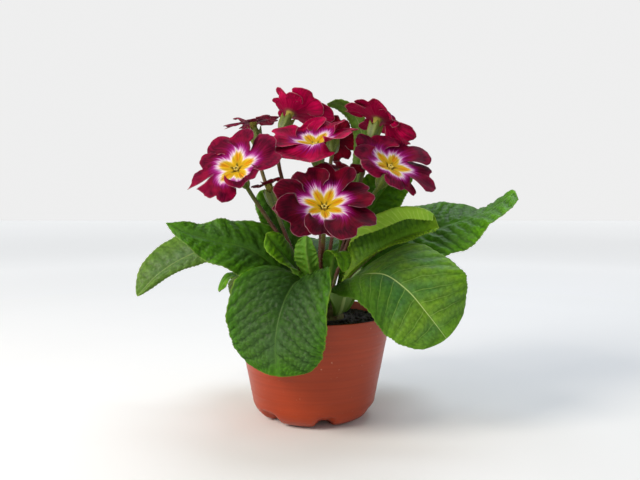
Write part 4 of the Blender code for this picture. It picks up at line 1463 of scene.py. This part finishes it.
@dataclass(frozen=True)
class Soil:
    """The plug of peat in the pot, crumbly on top, with its hole for the crown.

    lumps and small_lumps give a net's cell size, where it starts and its seed, and lump_heights how high
    each stands and how far the level between them is sunk.
    """

    pot: Pot
    middle: float = 64.5
    edge: float = 61.2
    bottom: float = 16.0
    gap: float = 0.4
    wall_gap: float = 0.45
    sides: int = 150
    rings: int = 34
    lumps: tuple = (4.2, 40.0, 5)
    small_lumps: tuple = (1.7, 90.0, 6)
    lump_heights: tuple = (1.2, 0.6, 1.1)
    crumbs: int = 620
    crumb_size: tuple = (0.45, 1.5)
    crumb_seed: int = 11

    @property
    def outer(self) -> float:
        """The radius of the plug's top."""
        return self.pot.inside(self.edge) - self.wall_gap

    def top(self, x: Places, y: Places) -> Places:
        """The level of the top at a place."""
        return self.middle + (self.edge - self.middle) * smooth(0.0, 46.0, np.hypot(x, y))

    def reach(self, turn: Places) -> Places:
        """How far the plug's side is from the crown's axis in each direction."""
        inwards = CROWN.x * np.cos(turn) + CROWN.y * np.sin(turn)
        return -inwards + np.sqrt(inwards**2 - CROWN.x**2 - CROWN.y**2 + self.outer**2)

    def plug(self, inner: float) -> tuple[Places, list[np.ndarray]]:
        """Shapes the plug.

        Args:
            inner: the radius of its hole.

        Returns:
            Its points and faces.
        """
        turn = np.linspace(0.0, ROUND, self.sides, endpoint=False)
        share = np.linspace(0.0, 1.0, self.rings)[:, None]
        away = inner + (self.reach(turn) - inner) * share
        x = CROWN.x + away * np.cos(turn)
        y = CROWN.y + away * np.sin(turn)
        lumps, small = (
            np.clip(1.6 * cells(x / size + start, y / size + start, seed), 0.0, 1.0)
            for size, start, seed in (self.lumps, self.small_lumps)
        )
        rough = smooth(0.0, 0.12, share) * (1.0 - smooth(0.95, 1.0, share))
        high, low, sunk = self.lump_heights
        upper = np.stack([x, y, self.top(x, y) + rough * (high * lumps + low * small - sunk)], axis=-1)
        shrink = (self.pot.inside(self.bottom) - 0.6) / self.outer
        lower_out = np.stack([x[-1] * shrink, y[-1] * shrink, np.full(self.sides, self.bottom)], axis=-1)
        lower_in = upper[0] * (1.0, 1.0, 0.0) + (0.0, 0.0, CROWN.z - CROWN.foot)
        return tube(np.concatenate([lower_in[None], upper, lower_out[None]])[::-1])

    def loose_crumbs(self, inner: float) -> tuple[Places, np.ndarray]:
        """Scatters crumbs over the top.

        Args:
            inner: the radius of the plug's hole.

        Returns:
            Their points and faces.
        """
        ball = bmesh.new()
        bmesh.ops.create_icosphere(ball, subdivisions=1, radius=1.0)
        shell = np.array([vert.co for vert in ball.verts])
        turns = np.array([[vert.index for vert in face.verts] for face in ball.faces])
        ball.free()
        count = self.crumbs
        draw = np.random.default_rng(self.crumb_seed)
        way = draw.uniform(0.0, ROUND, count)
        far = inner + 1.5 + (self.reach(way) - inner - 4.0) * np.sqrt(draw.uniform(0.0, 1.0, count))
        x = CROWN.x + far * np.cos(way)
        y = CROWN.y + far * np.sin(way)
        size = draw.uniform(*self.crumb_size, count) ** 1.4
        seats = np.column_stack([x, y, self.top(x, y) - 0.2 + 0.25 * size])
        dented = shell * draw.uniform(0.6, 1.3, (count, len(shell), 1))
        blobs = seats[:, None] + size[:, None, None] * (dented * draw.uniform(0.5, 1.2, (count, 1, 3)))
        return blobs.reshape(-1, 3), (turns + len(shell) * np.arange(count)[:, None, None]).reshape(-1, 3)

    def build(self, skins: Skins) -> None:
        """Builds the plug and its crumbs.

        Args:
            skins: the materials.
        """
        points, faces = self.plug(CROWN.radius + self.gap)
        crumbs, more = self.loose_crumbs(CROWN.radius + self.gap)
        faces = [*faces, more + len(points)]
        Piece("soil_top", "soil", "peat", np.concatenate([points, crumbs]), faces, skins.peat).place()


LEAVES = (
    Leaf(
        "front_left", -112, OUTER,
        ((-4, -27, 87), (-10, -42, 91), (-17, -56, 80), (-21, -63, 62), (-21, -62, 40)),
        32.0, LeafTint.OLD, fold=(35, 30, 10, 0), widening=(0.10, 0.55), tip=0.72, taper=0.35,
        ruffle=1.0, curl_left=(10, 20, 20), curl_right=(10, 20, 20), rows=14, spacing=0.8, pucker=1.1,
        vein_gap=8.5, sweep=0.65, wander=0.7, crumple=0.8, dusk=(0, 0.85, 0),
    ),
    Leaf(
        "front_right", -50, OUTER,
        ((22, -27, 90), (39, -43, 96), (53, -53, 88), (65, -59, 74), (75, -60, 61)),
        30.0, LeafTint.BROAD, lean=-0.10, roll=(2, 20, 50, 54), fold=(14, 10, 4), widening=(-0.06, 0.40),
        tip=0.72, taper=0.42, ruffle=1.2, curl_left=(44, 44, 24), curl_right=(10, 4, 26), rows=14,
        spacing=0.8, pucker=0.8, wander=0.4, dusk=(0, 0, 0.75, 0.7),
    ),
    Leaf(
        "left_upper", 172, OUTER,
        ((-24, -4, 94), (-40, -8, 107), (-58, -11, 112), (-76, -12, 117), (-92, -11, 124)),
        21.0, LeafTint.DEEP, roll=(-10, -42, -46, -40), fold=(25, 10, 10), widening=(0.02, 0.42),
        tip=0.42, taper=1.1, ruffle=2.2, waves=3.5, spacing=0.8,
    ),
    Leaf(
        "far_left", 148, OUTER,
        ((-24, 15, 92), (-46, 21, 104), (-68, 23, 106), (-88, 22, 99), (-105, 19, 88), (-118, 15, 74)),
        17.0, LeafTint.PALE, lean=0.42, roll=(-5, -25, -40), fold=(25, 10, 10), widening=(0.15, 0.6),
        tip=0.6, taper=0.75, curl_left=(15, 20), curl_right=(40, 90), ruffle=1.0, spacing=0.8, pucker=0.7,
    ),
    Leaf(
        "left_low", -163, OUTER, ((-26, -4, 76), (-42, -3, 88), (-54, -4, 89), (-61, -5, 80)),
        10.0, LeafTint.YOUNG, roll=(0, -20), rows=9, ruffle=0.8, pucker=0.7,
    ),
    Leaf(
        "far_right", 6, OUTER,
        ((34, 2, 90), (54, 6, 108), (76, 8, 118), (97, 8, 125), (113, 6, 131), (129, 4, 144)),
        24.0, LeafTint.SUNLIT, roll=(10, 35, 50, 42, 6, 10), fold=(25, 10, 6), widening=(0.1, 0.5),
        tip=0.72, taper=0.36, ruffle=1.6, spacing=0.8,
    ),
    Leaf(
        "right_rolled", -18, INNER,
        ((22, -5, 90), (34, -5, 102), (48, -5, 111), (63, -5, 117), (79, -6, 121)),
        16.5, LeafTint.RUSTY, lean=-0.35, roll=(10, 30, 38), fold=(30, 15, 15), curl_left=(10, 20, 30),
        curl_right=(-10, -80, -100), widening=(0.2, 0.6), ruffle=0.8, spacing=0.55, vein_gap=3.6,
        pucker=0.6, flap=0.68, flap_turn=130.0, tooth=0.9, tooth_gap=2.3,
    ),
    Leaf(
        "right_upright", 30, INNER,
        ((21, 8, 96), (31, 13, 120), (43, 16, 140), (55, 17, 153), (65, 15, 160)),
        16.0, LeafTint.YOUNG, roll=(10, 50, 55), rows=11, spacing=0.9,
    ),
    Leaf(
        "left_upright", 150, INNER, ((-13, 12, 93), (-20, 19, 114), (-28, 23, 131), (-36, 25, 144)),
        13.0, LeafTint.DEEP, roll=(-10, -35, -40), rows=11,
    ),
    Leaf(
        "back_tall", 66, INNER,
        (
            (16, 16, 98), (24, 27, 130), (31, 38, 160), (33, 43, 181), (28, 42, 195), (18, 38, 202),
            (9, 34, 202),
        ),
        6.0, LeafTint.PALE, fold=(20, 10), rows=12, ruffle=0.5, widening=(0.3, 0.7), tip=0.85, pucker=0.4,
    ),
    Leaf(
        "heart_left", -140, INNER, ((-9, -12, 90), (-16, -17, 102), (-23, -21, 111), (-28, -24, 118)),
        9.5, LeafTint.YOUNG, roll=(0, -20, -70, -95), rows=9, ruffle=0.8, spacing=0.8, pucker=0.6,
        vein_gap=5.0,
    ),
    Leaf(
        "heart_middle", -101, INNER, ((2, -18, 86), (-2, -24, 97), (-4, -28, 108), (-4, -30, 117)),
        7.5, LeafTint.YOUNG, lean=0.15, widening=(0.2, 0.7), rows=9, ruffle=0.6, spacing=0.7,
        vein_gap=5.0, pucker=0.6,
    ),
    Leaf(
        "heart_right", -73, INNER,
        ((10, -17, 91), (12, -22, 103), (15, -28, 107), (18, -34, 103), (18, -38, 96)),
        7.0, LeafTint.YOUNG, widening=(0.2, 0.7), rows=9, ruffle=0.6, spacing=0.7, vein_gap=5.0,
        pucker=0.6,
    ),
    Leaf(
        "back_left", 122, OUTER,
        ((-14, 26, 86), (-28, 44, 92), (-42, 60, 88), (-53, 72, 76), (-58, 78, 62)),
        21.0, LeafTint.BROAD, fold=(30, 5, 0),
    ),
    Leaf(
        "back", 90, OUTER, ((4, 28, 94), (3, 48, 108), (1, 68, 108), (-1, 85, 96), (-2, 92, 80)),
        23.0, LeafTint.DEEP, fold=(30, 5, 0),
    ),
    Leaf(
        "back_right", 52, OUTER,
        ((24, 24, 84), (38, 40, 92), (52, 55, 90), (64, 67, 79), (71, 73, 64)),
        22.0, LeafTint.BROAD, fold=(30, 5, 0),
    ),
)

FLOWERS = (
    Flower(
        "front", -86, STALK_RING, (6.5, -45, 134), (0.02, -0.70, 0.71), 30.5, 15, PetalTint.BURGUNDY,
        0.30, -0.06,
        (
            Petal(-4, 0.94, width=1.5), Petal(8, 1.01, width=1.5), Petal(0, 0.88, width=1.5),
            Petal(10, 1.00, width=1.5), Petal(4, 1.05, 0.08, 0.20), Petal(-4, 0.94),
            Petal(-15, 1.12, width=1.6),
        ),
    ),
    Flower(
        "left", -150, STALK_RING, (-46, -25, 156.5), (-0.28, -0.73, 0.62), 30.5, 26, PetalTint.WINE,
        0.20, -0.12,
        (
            Petal(3, 0.98, 0.02, corner=-0.30), Petal(18, 1.02, 0.02),
            Petal(8, 0.92, -0.04, corner=-0.50, width=0.8),
            Petal(9, 0.82, -0.10, corner=0.40, width=0.9), Petal(0, 0.68, 0.10),
        ),
    ),
    Flower(
        "right", -12, STALK_RING, (47, -16, 158), (0.38, -0.55, 0.74), 30.5, 45, PetalTint.WINE,
        0.22, -0.14,
        (
            Petal(-10, 1.14, 0.04), Petal(-22, 0.96, 0.04), Petal(-20, 0.84), Petal(6, 0.78, -0.10),
            Petal(6, 1.03, -0.06, corner=0.20),
        ),
        bow=(0, 5, 5),
    ),
    Flower(
        "middle", -100, STALK_HEART, (1, -10, 172), (-0.12, -0.38, 0.92), 27.0, -8, PetalTint.CRIMSON,
        0.36, -0.08,
        (
            Petal(4, 1.04, 0.02), Petal(12, 0.93, 0.04), Petal(-8, 1.10), Petal(-14, 1.02, 0.02),
            Petal(-18, 1.10, -0.22, width=1.7),
        ),
    ),
    Flower(
        "top_left", 115, STALK_HEART, (-16, 25, 195), (0.35, 0.45, 0.82), 24.0, 30, PetalTint.CRIMSON,
        0.34, -0.10,
        (
            Petal(0, 0.62, width=1.4), Petal(8, 0.78, width=1.4), Petal(-8, 1.05), Petal(-22, 1.25),
            Petal(-8, 0.72, width=1.4),
        ),
        bow=(4, 3, 0),
    ),
    Flower(
        "far_left", 132, STALK_RING, (-41.5, 33, 190), (-0.15, 0.05, 0.99), 20.0, 0, PetalTint.WINE,
        0.10, -0.10, bow=(-2, 16, 0),
    ),
    Flower(
        "top_right", 38, STALK_RING, (41.5, 14, 190), (0.30, 0.33, 0.90), 24.5, 30, PetalTint.CRIMSON,
        0.25, -0.18,
        (
            Petal(10, 0.96), Petal(2, 0.92), Petal(0, 0.66, -0.10), Petal(-16, 1.14, -0.28),
            Petal(-8, 0.92, -0.04),
        ),
        bow=(3, 8, 0),
    ),
    Flower(
        "back", 84, STALK_RING, (14, 52, 180), (0.10, 0.80, 0.60), 20.0, 40, PetalTint.BURGUNDY,
        0.12, -0.10,
    ),
    Flower(
        "inner_right", 20, STALK_HEART, (18.5, 3, 157), (0.15, 0.20, 0.96), 14.5, 50, PetalTint.BURGUNDY,
        0.15, -0.05,
    ),
    Flower(
        "inner_left", 180, STALK_RING, (-29, 0, 148), (-0.30, 0.05, 0.95), 11.0, 10, PetalTint.BURGUNDY,
        0.15, -0.05, bow=(0, 2, 0),
    ),
)


@dataclass(frozen=True)
class Lamp:
    """One square soft light: where it hangs and its side in metres, its watts and its colour."""

    name: str
    place: tuple
    size: float
    power: float
    colour: str
    target: tuple = (0.0, 0.0, 0.11)

    def hang(self) -> None:
        """Hangs the light so that it points at the plant."""
        lamp = bpy.data.lights.new(self.name, "AREA")
        lamp.size, lamp.energy, lamp.color = self.size, self.power, linear(self.colour)[:3]
        light = put(self.name, lamp)
        light.location = self.place
        beam = Vector(self.target) - Vector(self.place)
        light.rotation_euler = beam.to_track_quat("-Z", "Y").to_euler()


@dataclass(frozen=True)
class Studio:
    """A white paper floor under soft light, and the camera at the plant's own height, in metres."""

    camera_place: tuple = (0.004, -0.4468, 0.1431)
    camera_pitch: float = 86.04
    focal_mm: float = 39.375
    sensor_mm: float = 36.0
    floor_drop: float = 0.0005
    sky: str = "#ffffff"
    ceiling: str = "#8f959c"
    sky_strength: float = 0.86
    horizon: tuple = (0.30, 0.60)
    lamps: tuple = (
        Lamp("key_light", (-0.70, -0.50, 0.65), 0.40, 9.0, "#fff6ea"),
        Lamp("top_light", (0.15, 0.35, 0.95), 0.6, 5.0, "#eef4ff"),
    )

    def build_camera(self) -> None:
        """Makes the camera and sets it as the scene's own."""
        lens = bpy.data.cameras.new("camera")
        lens.sensor_width, lens.lens = self.sensor_mm, self.focal_mm
        camera = bpy.context.scene.camera = put("camera", lens)
        camera.location = self.camera_place
        camera.rotation_euler = (math.radians(self.camera_pitch), 0.0, 0.0)

    def build_floor(self, skins: Skins) -> None:
        """Lays the paper.

        Args:
            skins: the materials.
        """
        steps = np.linspace(-StudioPaper.reach, StudioPaper.reach, 9) / MM
        x, y = np.meshgrid(steps, steps)
        points = np.stack([x, y, np.full_like(x, -self.floor_drop / MM)], axis=-1).reshape(-1, 3)
        mesh = to_mesh("studio_floor", points, [grid_faces(len(steps), len(steps))])
        mesh.materials.append(skins.paper)
        put("studio_floor", mesh)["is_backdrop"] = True

    def build(self, skins: Skins) -> None:
        """Builds the whole studio.

        Args:
            skins: the materials.
        """
        self.build_camera()
        self.build_floor(skins)
        for lamp in self.lamps:
            lamp.hang()
        # White walls, and a dimmer ceiling that keeps shade under the leaves.
        mix = Recipe("studio_world", "worlds", "Background")
        level = mix.add("SeparateXYZ", mix.add("TexCoord", take="Generated"), take="Z")
        wall = mix.add("ValToRGB", level, stops=tuple(zip(self.horizon, (self.sky, self.ceiling))))
        bpy.context.scene.world = mix.dress(Color=wall, Strength=self.sky_strength)
        bpy.context.scene.view_settings.view_transform = "Standard"


def main() -> None:
    """Builds and dresses every piece in order."""
    logging.basicConfig(level=logging.INFO, format="%(name)s: %(message)s")
    solid_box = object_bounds()
    skins = Skins()
    Studio().build(skins)
    pot = Pot()
    CROWN.dress(skins)
    for part in (pot, Soil(pot), *LEAVES, *FLOWERS):
        part.build(skins)
    visual_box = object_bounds()
    sizes = {"cad": [list(corner) for corner in solid_box], "visual": [list(corner) for corner in visual_box]}
    LOG.info("solids %s, pieces %s", sizes["cad"], sizes["visual"])


if __name__ == "__main__":
    main()
